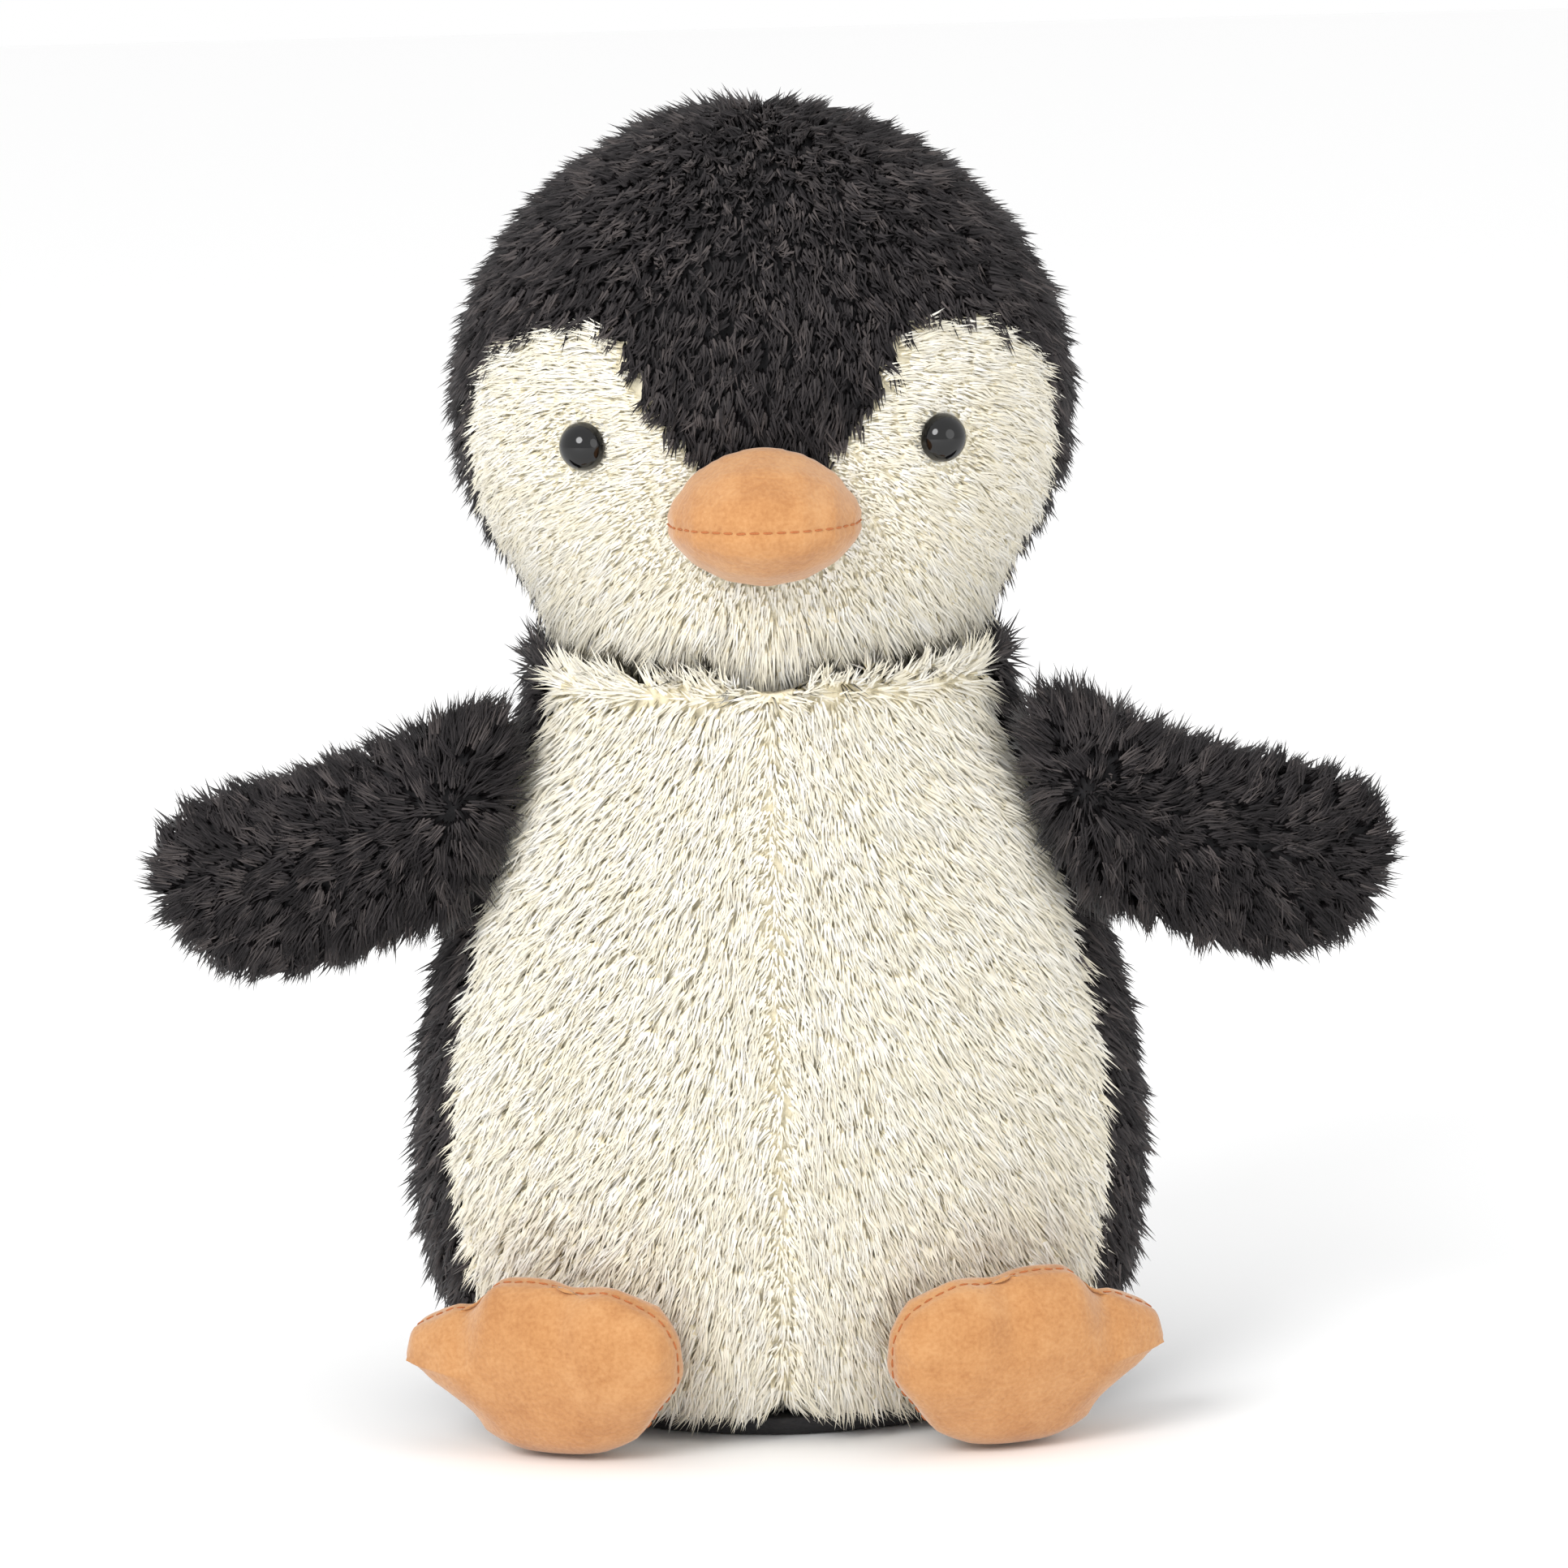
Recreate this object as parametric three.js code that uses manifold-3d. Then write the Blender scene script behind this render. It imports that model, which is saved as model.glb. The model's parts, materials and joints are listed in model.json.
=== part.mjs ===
// Plush penguin: sewn fabric panels stretched over stuffed forms, with soft joints at the neck,
// wings and feet. Millimetres, +Z up. The toy stands on Z = 0 and faces -Y. "left" and "right"
// are the toy's own sides, so its left side is +X.
import * as THREE from "three";
import { mergeVertices } from "three/addons/utils/BufferGeometryUtils.js";
import Module from "manifold-3d";

// ---- Driving dimensions ----
// Overall form, taken to the middle of the pile.
const NECK_HEIGHT = 136.8; // floor to the neck crease
const HEAD_HEIGHT = 93; // neck crease to crown
const NECK_RADIUS = 38;
const BODY_WIDTH = 130.5;
const BELLY_DEPTH = 53; // middle of the body to the front of the belly
const BACK_DEPTH = 52;
const HEAD_WIDTH = 110.5;
const FACE_DEPTH = 46;
const NAPE_DEPTH = 47;

// Fabric and thread.
const PLUSH = 3; // long-pile knit, pile pressed flat
const SUEDE = 1.2; // short-pile suede cloth of the beak and feet
const BASE_THICKNESS = 4; // doubled cloth of the flat base
const THREAD = 1; // doubled sewing thread
const CLEARANCE = 0.3; // between pieces that touch

// Neck joint: the head's underside is a ball in a shallow bowl in the shoulders.
const NECK_PIVOT_RISE = 18; // crease up to the middle of the ball
const NECK_OPENING = 26; // radius of the hole that the neck filling passes through
const NECK_CORE = 12; // radius of the filling in the neck
const NECK_BULB = 17; // radius of the round top of that filling
const NECK_CORE_DEPTH = 36; // how far it reaches below the crease
const CORE_ROOM = 1; // space round it
const NECK_TILT_DEG = 10; // each way
const NECK_NOD_DEG = 12; // forwards
const NECK_SEAM_DEG = 40; // how far below level the neck seam runs, seen from the pivot

// Wings.
const WING_ROOT_HEIGHT = 105; // floor to the middle of the wing's root on the body
const WING_ROOT_LENGTH = 42;
const WING_SPAN = 47; // root hinge to tip
const WING_CHORD = 33;
const WING_THICKNESS = 18;
const WING_TIP_DROP = 26; // how far the tip lies down the root's line from its middle
const WING_SLANT = 0.43; // turns the wing's outer chord from the root's line to upright
const WING_CLEARANCE = 1; // keeps the root off the body as the wing flaps
const WING_ANGLE_DEG = 24; // round from the toy's side towards its front
const WING_STITCH_ROOM = 1; // space in the filling round the wing's seam thread
const LEFT_WING_LIFT_DEG = 0.5;
const RIGHT_WING_LIFT_DEG = 1;

// Feet.
const FOOT_HEEL_LENGTH = 32;
const FOOT_LENGTH = 24; // heel hinge to toe tips
const FOOT_WIDTH = 54;
const FOOT_THICKNESS = 18;
const FOOT_ANGLE_DEG = 54; // round from the toy's side towards its front
const FOOT_LEAN_DEG = 16; // toes forward of the heel
const FOOT_TURN_DEG = 24; // toes out
const FOOT_CLEARANCE = 2.2;
const TOE_NOTCH = 3.5; // radius of the dips between the toes
const TOE_NOTCH_SPACING = 20;
const TOE_SHIFT = 2; // how far the toes lie outside the heel's middle

// Beak and eyes.
const BEAK_HEIGHT = 160; // floor to the mouth seam
const BEAK_WIDTH = 34.5;
const BEAK_RISE = 14.3; // mouth seam to the top of the upper beak
const BEAK_DROP = 11.4;
const BEAK_REACH = 17; // out from the face
const EYE_HEIGHT = 172.8;
const EYE_SPACING = 62.5;
const EYE_RADIUS = 4.2;
const EYE_RISE = 3.8;
const EYE_SEAT = 1.4; // how deep the eye sits in the pile
const SHANK_RADIUS = 1.5;
const SHANK_LENGTH = 8;
const WASHER_RADIUS = 5;
const WASHER_THICKNESS = 1.4;
const WASHER_ROOM = 1; // hollow in the filling round and behind each washer

// Weight bag in the base.
const BAG_WIDTH = 78;
const BAG_DEPTH = 66;
const BAG_THICKNESS = 20;
const BAG_CLOTH = 1;
const BAG_OPENING_INSET = 4; // inside the bag's rim, where the filling stops

// Colour panels.
const SIDE_SEAM_NECK = 14; // how far forward the side seam lies at the neck
const SIDE_SEAM_FLOOR = 26; // and at the floor
const CHEEK_TOP = 193; // top of the pale patches over the eyes
const CHEEK_WIDTH = 49.5; // middle of the face to the hood's edge
const EAR_LINE = 4; // how far forward of the middle the pale panels end
const PEAK_WIDTH = 46; // dark peak between the patches, at their tops
const PEAK_POINT = 23; // and where it meets the beak
const PEAK_OVERLAP = 5; // how far it runs down behind the top of the beak
const PATCH_CORNER = 6; // rounding of the patches over the eyes

// ---- Finishes ----
const FINISHES = {
  dark: { color: "#3a393b", roughness: 0.95 },
  cream: { color: "#f4eedc", roughness: 0.95 },
  orange: { color: "#e1a773", roughness: 0.85 },
  fibre: { color: "#f7f7f4", roughness: 1 },
  cotton: { color: "#e9e5da", roughness: 0.9 },
  eye: { color: "#0b0b0c", roughness: 0.12 },
  washer: { color: "#e8e8e6", roughness: 0.5 },
  darkThread: { color: "#2b2a2c", roughness: 0.8 },
  pellet: { color: "#d9d9d4", roughness: 0.5 },
};

const wasm = await Module();
wasm.setup();

// ---- Solids ----
// A closed geometry as a solid that can be cut and joined, turned to face outwards.
function solid(geometry) {
  const bare = geometry.clone();
  bare.deleteAttribute("normal");
  bare.deleteAttribute("uv");
  const merged = mergeVertices(bare, 1e-4);
  const corners = merged.index.array;
  const triangles = [];
  for (let i = 0; i < corners.length; i += 3) {
    const [a, b, c] = corners.slice(i, i + 3);
    if (a !== b && b !== c && c !== a) triangles.push(a, b, c);
  }
  const made = () =>
    new wasm.Manifold(
      new wasm.Mesh({
        numProp: 3,
        vertProperties: merged.getAttribute("position").array,
        triVerts: new Uint32Array(triangles),
      }),
    );
  const first = made();
  if (first.volume() > 0) return first;
  triangles.reverse();
  return made();
}

// A solid's surface as a three.js geometry.
function surface(body) {
  const mesh = body.getMesh();
  const points = new Float32Array(mesh.numVert * 3);
  for (let i = 0; i < mesh.numVert; i++)
    points.set(mesh.vertProperties.subarray(i * mesh.numProp, i * mesh.numProp + 3), i * 3);
  const geometry = new THREE.BufferGeometry();
  geometry.setAttribute("position", new THREE.BufferAttribute(points, 3));
  geometry.setIndex(new THREE.BufferAttribute(mesh.triVerts, 1));
  geometry.computeVertexNormals();
  return geometry;
}

// A closed skin over rings of points. The first and last rings are single points.
function skinned(ringCount, segments, place) {
  const profile = Array.from(
    { length: ringCount },
    (_, j) => new THREE.Vector2(j % (ringCount - 1) ? 1 : 0, j),
  );
  const geometry = new THREE.LatheGeometry(profile, segments);
  const position = geometry.getAttribute("position");
  for (let i = 0; i <= segments; i++)
    for (let j = 0; j < ringCount; j++) {
      const p = place(j, (2 * Math.PI * (i % segments)) / segments);
      position.setXYZ(i * ringCount + j, p.x, p.y, p.z);
    }
  return solid(geometry);
}

// A smooth curve of one or more values through rows of [place, value, ...].
function throughRows(rows) {
  const width = rows[0].length - 1;
  const curve = new THREE.CubicInterpolant(
    rows.map((row) => row[0]),
    rows.flatMap((row) => row.slice(1)),
    width,
  );
  return (place) => Array.from(curve.evaluate(place));
}

const vector = (x, y, z) => new THREE.Vector3(x, y, z);
const radians = THREE.MathUtils.degToRad;

// ---- Body and head forms ----
const NECK_PIVOT = vector(0, 0, NECK_HEIGHT + NECK_PIVOT_RISE);
const HEAD_BALL = Math.hypot(NECK_RADIUS, NECK_PIVOT_RISE);
const NECK_BOWL = HEAD_BALL + THREAD + 2 * CLEARANCE;
const CROWN = NECK_HEIGHT + HEAD_HEIGHT;

// How full the body is from the floor (0) to the neck (1): 0 is the neck's size, 1 the widest.
const bodyFullness = throughRows([
  [0, 0.1],
  [0.03, 0.45],
  [0.08, 0.7],
  [0.17, 0.91],
  [0.32, 1],
  [0.45, 0.95],
  [0.56, 0.84],
  [0.7, 0.62],
  [0.84, 0.36],
  [0.93, 0.13],
  [1, 0],
]);

// How full the head is from the neck crease (0) up to its widest (1).
const headFullness = throughRows([
  [0, 0],
  [0.08, 0.05],
  [0.2, 0.27],
  [0.35, 0.56],
  [0.49, 0.74],
  [0.63, 0.87],
  [0.78, 0.96],
  [1, 1],
]);
const HEAD_WIDEST = 0.44; // share of the head's height at which it is widest
const CROWN_ROUNDNESS = 1.9; // 2 is a true ellipse, less is more pointed

// A point on the body's surface; angle 0 is the toy's left side and -90 degrees its front.
function bodyPoint(height, angle, inset = 0) {
  const [full] = bodyFullness(height / NECK_HEIGHT);
  const half = (widest) => NECK_RADIUS + (widest - NECK_RADIUS) * full - inset;
  const depth = Math.sin(angle) < 0 ? half(BELLY_DEPTH) : half(BACK_DEPTH);
  return vector(half(BODY_WIDTH / 2) * Math.cos(angle), depth * Math.sin(angle), height);
}

// The same for the head, above the neck crease.
function headPoint(height, angle, inset = 0) {
  const rise = (height - NECK_HEIGHT) / HEAD_HEIGHT;
  const share = rise / HEAD_WIDEST;
  const above = (rise - HEAD_WIDEST) / (1 - HEAD_WIDEST - inset / HEAD_HEIGHT);
  const closing = above > 0 ? 1 - Math.min(above, 1) ** CROWN_ROUNDNESS : 1;
  const shrink = closing ** (1 / CROWN_ROUNDNESS);
  const [full] = headFullness(Math.min(share, 1));
  const half = (widest) => (NECK_RADIUS + (widest - NECK_RADIUS) * full - inset) * shrink;
  const depth = Math.sin(angle) < 0 ? half(FACE_DEPTH) : half(NAPE_DEPTH);
  return vector(half(HEAD_WIDTH / 2) * Math.cos(angle), depth * Math.sin(angle), height);
}

// The outward direction of a surface given as point(height, angle).
function outward(point, height, angle) {
  const step = 0.01;
  const up = point(height + 1, angle).sub(point(height - 1, angle));
  const round = point(height, angle + step).sub(point(height, angle - step));
  return round.cross(up).normalize();
}

const BODY_HEIGHTS = [0, 0.03, 0.09, 0.18, 0.32, 0.48, 0.64, 0.8, 0.92, 1.03];
const BODY_SEGMENTS = 24;

// The body from the floor, or from a lift above it, up to just over the neck crease.
function bodyForm(inset, lift) {
  const heights = BODY_HEIGHTS.map((share) => Math.max(share * NECK_HEIGHT, lift));
  const rings = [heights[0], ...heights, heights.at(-1)];
  return skinned(rings.length, BODY_SEGMENTS, (j, angle) => {
    const onAxis = j === 0 || j === rings.length - 1;
    const height = rings[j] + (j > 1 && rings[j] <= lift ? 0.01 * j : 0);
    if (onAxis) return vector(0, 0, rings[j]);
    return bodyPoint(Math.min(height, NECK_HEIGHT), angle, inset).setZ(height);
  });
}

const BALL_RINGS = 5;
const HEAD_SHARES = [0.1, 0.2, 0.32, 0.47, 0.62, 0.75, 0.86, 0.94, 0.985];
const HEAD_SEGMENTS = 24;

// The head: a ball below the neck crease, the cheeks and crown above it.
function headForm(inset) {
  const ball = HEAD_BALL - inset;
  const creaseAngle = Math.asin(NECK_RADIUS / HEAD_BALL);
  const top = HEAD_HEIGHT - inset;
  const count = 1 + BALL_RINGS + HEAD_SHARES.length + 1;
  return skinned(count, HEAD_SEGMENTS, (j, angle) => {
    if (j === 0) return vector(0, 0, NECK_PIVOT.z - ball);
    if (j === count - 1) return vector(0, 0, NECK_HEIGHT + top);
    if (j <= BALL_RINGS) {
      const polar = (creaseAngle * j) / BALL_RINGS;
      const radius = ball * Math.sin(polar);
      const height = NECK_PIVOT.z - ball * Math.cos(polar);
      return vector(radius * Math.cos(angle), radius * Math.sin(angle), height);
    }
    const height = NECK_HEIGHT + top * HEAD_SHARES[j - BALL_RINGS - 1];
    return headPoint(height, angle, inset);
  });
}

// ---- Wings and feet: pillows that hinge on a rounded root ----
const PILLOW_SQUARENESS = 2.6; // cross-section: 2 is an ellipse, more is fuller at the corners
const NOSE_RINGS = 3;
const BLADE_STEPS = [0.25, 0.5, 0.75, 0.93];
const PILLOW_SEGMENTS = 12;

// How far out along a direction a rounded cross-section reaches, as a share of its half sizes.
const roundness = (angle) =>
  (Math.abs(Math.cos(angle)) ** PILLOW_SQUARENESS + Math.abs(Math.sin(angle)) ** PILLOW_SQUARENESS)
  ** (-1 / PILLOW_SQUARENESS);

// On the root, which is round about the hinge, the same share at a depth behind the hinge.
function rootShare(depth, angle) {
  const outline = (along) => (1 - Math.min(along, 1) ** PILLOW_SQUARENESS) ** (1 / PILLOW_SQUARENESS);
  let low = 0;
  let high = 1;
  for (let i = 0; i < 30; i++) {
    const share = (low + high) / 2;
    const along = Math.abs(share * Math.cos(angle));
    const inside = Math.hypot(share * Math.sin(angle), depth) < outline(along);
    if (inside) low = share;
    else high = share;
  }
  return low;
}

// A pillow in its own frame: X along the hinge, Y through the thickness, Z out to the tip.
// shape gives, at shares of the length, the middle line's shift along the hinge, the two half
// sizes, and how far the section leans towards the tip.
function pillow({ root, thickness, length, shape }, inset) {
  const halfRoot = root / 2 - inset;
  const halfThick = thickness / 2 - inset;
  const reach = length - inset;
  const count = 1 + NOSE_RINGS + BLADE_STEPS.length + 1;
  return skinned(count, PILLOW_SEGMENTS, (j, angle) => {
    if (j === 0) return vector(0, 0, -halfThick);
    if (j === count - 1) return vector(shape(1)[0], 0, reach);
    if (j <= NOSE_RINGS) {
      const depth = Math.cos((Math.PI / 2) * (j / NOSE_RINGS));
      const share = j === NOSE_RINGS ? roundness(angle) : rootShare(depth, angle);
      const along = halfRoot * share * Math.cos(angle);
      return vector(along, halfThick * share * Math.sin(angle), -halfThick * depth);
    }
    const step = BLADE_STEPS[j - NOSE_RINGS - 1];
    const [shift, halfWidth, halfDepth, slant] = shape(step);
    const share = roundness(angle);
    const closing = (1 - step ** 6) ** 0.5;
    const offset = (halfWidth - inset) * closing * share * Math.cos(angle);
    const depth = (halfDepth - inset) * closing;
    return vector(shift + offset, depth * share * Math.sin(angle), reach * step + slant * offset);
  });
}

// Places a solid made in a frame: columns are where its X, Y and Z go, then its origin.
function placed(body, x, y, z, origin) {
  const frame = new THREE.Matrix4().makeBasis(x, y, z).setPosition(origin);
  return solid(surface(body).applyMatrix4(frame));
}

// ---- Cutting tools ----
const FAR = 400; // larger than the toy

// A block between two corners.
function block(low, high) {
  const size = high.clone().sub(low);
  const box = new THREE.BoxGeometry(size.x, size.y, size.z);
  const middle = low.clone().add(high).multiplyScalar(0.5);
  return solid(box.translate(middle.x, middle.y, middle.z));
}

const leftHalf = block(vector(CLEARANCE / 2, -FAR, -FAR), vector(FAR, FAR, FAR));
const rightHalf = block(vector(-FAR, -FAR, -FAR), vector(-CLEARANCE / 2, FAR, FAR));
const above = (height) => block(vector(-FAR, -FAR, height), vector(FAR, FAR, FAR));
const below = (height) => block(vector(-FAR, -FAR, -FAR), vector(FAR, FAR, height));
const halves = { left: leftHalf, right: rightHalf };

const BALL_SEGMENTS = 18;
function ball(centre, radius) {
  const sphere = new THREE.SphereGeometry(radius, BALL_SEGMENTS, (BALL_SEGMENTS * 2) / 3);
  return solid(sphere.rotateX(Math.PI / 2).translate(centre.x, centre.y, centre.z));
}

// A ball whose flat facets all lie outside its radius, to hollow out room for a round piece.
function roomyBall(centre, radius) {
  return ball(centre, radius / Math.cos(Math.PI / BALL_SEGMENTS) ** 2);
}

// A round bar of two radii from one point towards a direction.
function bar(start, direction, length, radius, endRadius = radius, sides = 10) {
  const cylinder = new THREE.CylinderGeometry(endRadius, radius, length, sides);
  const turn = new THREE.Quaternion().setFromUnitVectors(vector(0, 1, 0), direction);
  const middle = start.clone().addScaledVector(direction, length / 2);
  return solid(cylinder.applyQuaternion(turn).translate(middle.x, middle.y, middle.z));
}

const toy = new THREE.Group();

// Adds a solid to the toy as a named mesh.
function add(name, body, finish) {
  const material = new THREE.MeshStandardMaterial(FINISHES[finish]);
  const mesh = new THREE.Mesh(surface(body), material);
  mesh.name = name;
  toy.add(mesh);
}

// ---- Body: four fur panels, a flat base, filling and a bag of weights ----
const UP = vector(0, 0, 1);
const bodyCavity = bodyForm(PLUSH, BASE_THICKNESS).subtract(
  roomyBall(NECK_PIVOT, NECK_BOWL + PLUSH),
);
const coreFoot = vector(0, 0, NECK_HEIGHT - NECK_CORE_DEPTH);
const neckOpening = bar(coreFoot, UP, NECK_CORE_DEPTH, NECK_OPENING);
const bodySkin = bodyForm(0, 0)
  .subtract(roomyBall(NECK_PIVOT, NECK_BOWL))
  .subtract(bodyCavity)
  .subtract(neckOpening);

// The side seams lie in one plane that leans with the body.
function sideSeam(gap) {
  const lean = Math.atan2(SIDE_SEAM_FLOOR - SIDE_SEAM_NECK, NECK_HEIGHT);
  const front = new THREE.BoxGeometry(2 * FAR, FAR, 2 * FAR).translate(0, -FAR / 2 - gap / 2, 0);
  return solid(front.rotateX(-lean).translate(0, -SIDE_SEAM_FLOOR, 0));
}

const bellyRegion = sideSeam(0);
const backRegionCut = sideSeam(-2 * CLEARANCE);
const upperSkin = bodySkin.intersect(above(BASE_THICKNESS + CLEARANCE));

// The opening in the back seam that the toy was filled through, closed by hand with thread.
const CLOSING_START = 30;
const CLOSING_END = 72;
const closingPath = new THREE.CatmullRomCurve3(
  [0, 0.25, 0.5, 0.75, 1].map((share) => {
    const height = THREE.MathUtils.lerp(CLOSING_START, CLOSING_END, share);
    return bodyPoint(height, Math.PI / 2, PLUSH / 2).setX(0);
  }),
);

// A thread, or the channel that one lies in, along a path.
function thread(path, radius, steps) {
  const section = new THREE.Shape().absarc(0, 0, radius, 0, 2 * Math.PI);
  const options = { steps, extrudePath: path, curveSegments: 2, bevelEnabled: false };
  return solid(new THREE.ExtrudeGeometry(section, options));
}

const closingChannel = block(
  vector(-THREAD, 0, CLOSING_START - THREAD),
  vector(THREAD, FAR, CLOSING_END + THREAD),
);
for (const [side, half] of Object.entries(halves)) {
  add(`belly_${side}`, upperSkin.intersect(bellyRegion).intersect(half), "cream");
  const back = upperSkin.subtract(backRegionCut).subtract(closingChannel);
  add(`back_${side}`, back.intersect(half), "dark");
}
add("closing_stitch", thread(closingPath, THREAD / 2, 6), "darkThread");

const basePanel = bodyForm(0, 0).intersect(below(BASE_THICKNESS));
add("base_panel", basePanel, "dark");

// The weight bag: two round cloths sewn at the rim, with pellets between them.
const BAG_FLOOR = BASE_THICKNESS + 2 * CLEARANCE;
const BAG_MIDDLE = BAG_FLOOR + BAG_THICKNESS / 2;
const BAG_RINGS = 6;
function bagForm(inset) {
  return skinned(BAG_RINGS + 1, 16, (j, angle) => {
    const polar = (Math.PI * j) / BAG_RINGS;
    const round = Math.sin(polar) ** 0.6;
    return vector(
      (BAG_WIDTH / 2 - inset) * round * Math.cos(angle),
      (BAG_DEPTH / 2 - inset) * round * Math.sin(angle),
      BAG_MIDDLE - (BAG_THICKNESS / 2 - inset) * Math.cos(polar),
    );
  });
}
const bagCloth = bagForm(0).subtract(bagForm(BAG_CLOTH));
add("weight_bag_upper", bagCloth.intersect(above(BAG_MIDDLE + CLEARANCE / 2)), "cotton");
add("weight_bag_lower", bagCloth.intersect(below(BAG_MIDDLE - CLEARANCE / 2)), "cotton");
add("weight_pellets", bagForm(BAG_CLOTH + CLEARANCE), "pellet");

const socketFoot = coreFoot.clone().setZ(coreFoot.z - CORE_ROOM);
const coreSocket = bar(socketFoot, UP, NECK_CORE_DEPTH, NECK_CORE + CORE_ROOM);
const bodyFilling = bodyForm(PLUSH + CLEARANCE, BASE_THICKNESS + CLEARANCE)
  .subtract(roomyBall(NECK_PIVOT, NECK_BOWL + PLUSH + CLEARANCE))
  .subtract(coreSocket)
  .subtract(bagForm(-CLEARANCE))
  .subtract(bar(vector(0, 0, 0), UP, BAG_MIDDLE, BAG_DEPTH / 2 - BAG_OPENING_INSET));
add("body_filling", bodyFilling, "fibre");

// ---- Neck: a plug of filling and the seam that closes the head onto the body ----
const neckCore = bar(coreFoot, UP, NECK_CORE_DEPTH + NECK_PIVOT_RISE, NECK_CORE);
add("neck_filling", neckCore.add(ball(NECK_PIVOT, NECK_BULB)), "fibre");

const seamDistance = (HEAD_BALL + NECK_BOWL) / 2;
const seamDrop = radians(NECK_SEAM_DEG);
const seamRing = new THREE.TorusGeometry(seamDistance * Math.cos(seamDrop), THREAD / 2, 4, 32);
seamRing.translate(0, 0, NECK_PIVOT.z - seamDistance * Math.sin(seamDrop));
add("neck_seam_thread", solid(seamRing), "darkThread");

// ---- Head: two hood panels, two face panels, filling, beak and eyes ----
const headSkin = headForm(0).subtract(headForm(PLUSH)).subtract(neckOpening);

// The pale patch on one side of the face, as an outline seen from the front.
function cheekOutline(grow) {
  const shape = new THREE.Shape();
  const inner = -grow;
  const outer = CHEEK_WIDTH + grow;
  const top = CHEEK_TOP + grow;
  const peakTop = PEAK_WIDTH / 2 - grow;
  const peakLow = PEAK_POINT / 2 - grow;
  const beakTop = BEAK_HEIGHT + BEAK_RISE - PEAK_OVERLAP;
  shape.moveTo(inner, 0);
  shape.lineTo(inner, beakTop);
  shape.lineTo(peakLow, beakTop);
  shape.lineTo(peakTop, top - PATCH_CORNER);
  shape.quadraticCurveTo(peakTop + PATCH_CORNER / 4, top, peakTop + PATCH_CORNER, top);
  shape.quadraticCurveTo(outer, top, outer, EYE_HEIGHT);
  shape.quadraticCurveTo(outer, (EYE_HEIGHT + NECK_HEIGHT) / 2, NECK_RADIUS, NECK_HEIGHT);
  shape.lineTo(NECK_RADIUS, 0);
  return shape;
}

// Everything in front of the ears inside the two outlines.
function faceRegion(side, grow) {
  const sign = side === "left" ? 1 : -1;
  const depth = { depth: FAR, bevelEnabled: false, curveSegments: 4 };
  const prism = new THREE.ExtrudeGeometry(cheekOutline(grow), depth);
  prism.rotateX(Math.PI / 2).translate(0, grow - EAR_LINE, 0).scale(sign, 1, 1);
  return solid(prism);
}

const bothFaces = faceRegion("left", CLEARANCE).add(faceRegion("right", CLEARANCE));

// Each eye: a glossy dome on a shank through the fabric, held by a washer behind it.
const eyes = ["left", "right"].map((side) => {
  const sign = side === "left" ? 1 : -1;
  const across = EYE_SPACING / 2;
  const widest = headPoint(EYE_HEIGHT, 0).x;
  const angle = sign > 0 ? -Math.acos(across / widest) : Math.PI + Math.acos(across / widest);
  const direction = outward(headPoint, EYE_HEIGHT, angle);
  return { side, direction, spot: headPoint(EYE_HEIGHT, angle) };
});

const along = (eye, distance) => eye.spot.clone().addScaledVector(eye.direction, distance);
const inwardOf = (eye) => eye.direction.clone().negate();

function eyeDome(eye) {
  const profile = [];
  const rounds = 4;
  for (let i = 0; i <= rounds; i++) {
    const polar = (Math.PI / 2) * (i / rounds);
    profile.push(new THREE.Vector2(EYE_RADIUS * Math.cos(polar), EYE_RISE * Math.sin(polar)));
  }
  profile[rounds].x = 0;
  const dome = new THREE.LatheGeometry([new THREE.Vector2(0, 0), ...profile], 12);
  const turn = new THREE.Quaternion().setFromUnitVectors(vector(0, 1, 0), eye.direction);
  const base = along(eye, -EYE_SEAT);
  return solid(dome.applyQuaternion(turn).translate(base.x, base.y, base.z));
}

const eyeHoles = [];
for (const eye of eyes) {
  const seat = along(eye, -EYE_SEAT - CLEARANCE);
  const shankHole = bar(seat, inwardOf(eye), SHANK_LENGTH + 1, SHANK_RADIUS + CLEARANCE);
  const domeHole = bar(seat, eye.direction, 20, EYE_RADIUS + CLEARANCE);
  const washerTop = along(eye, -PLUSH + CLEARANCE);
  const washerDepth = WASHER_THICKNESS + 2 * WASHER_ROOM;
  const washerHole = bar(washerTop, inwardOf(eye), washerDepth, WASHER_RADIUS + WASHER_ROOM);
  eyeHoles.push(shankHole.add(domeHole).add(washerHole));
  eye.washerHole = washerHole.add(shankHole);

  const shank = bar(along(eye, -EYE_SEAT + 0.5), inwardOf(eye), SHANK_LENGTH, SHANK_RADIUS);
  add(`${eye.side}_eye`, eyeDome(eye).add(shank), "eye");
  const ring = bar(along(eye, -PLUSH), inwardOf(eye), WASHER_THICKNESS, WASHER_RADIUS);
  const bore = bar(along(eye, 0), inwardOf(eye), 20, SHANK_RADIUS + CLEARANCE / 2);
  add(`${eye.side}_eye_washer`, ring.subtract(bore), "washer");
}

for (const [side, half] of Object.entries(halves)) {
  const hole = eyeHoles[side === "left" ? 0 : 1];
  const face = headSkin.intersect(faceRegion(side, 0)).intersect(half).subtract(hole);
  add(`face_${side}`, face, "cream");
  add(`hood_${side}`, headSkin.subtract(bothFaces).intersect(half), "dark");
}

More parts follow.
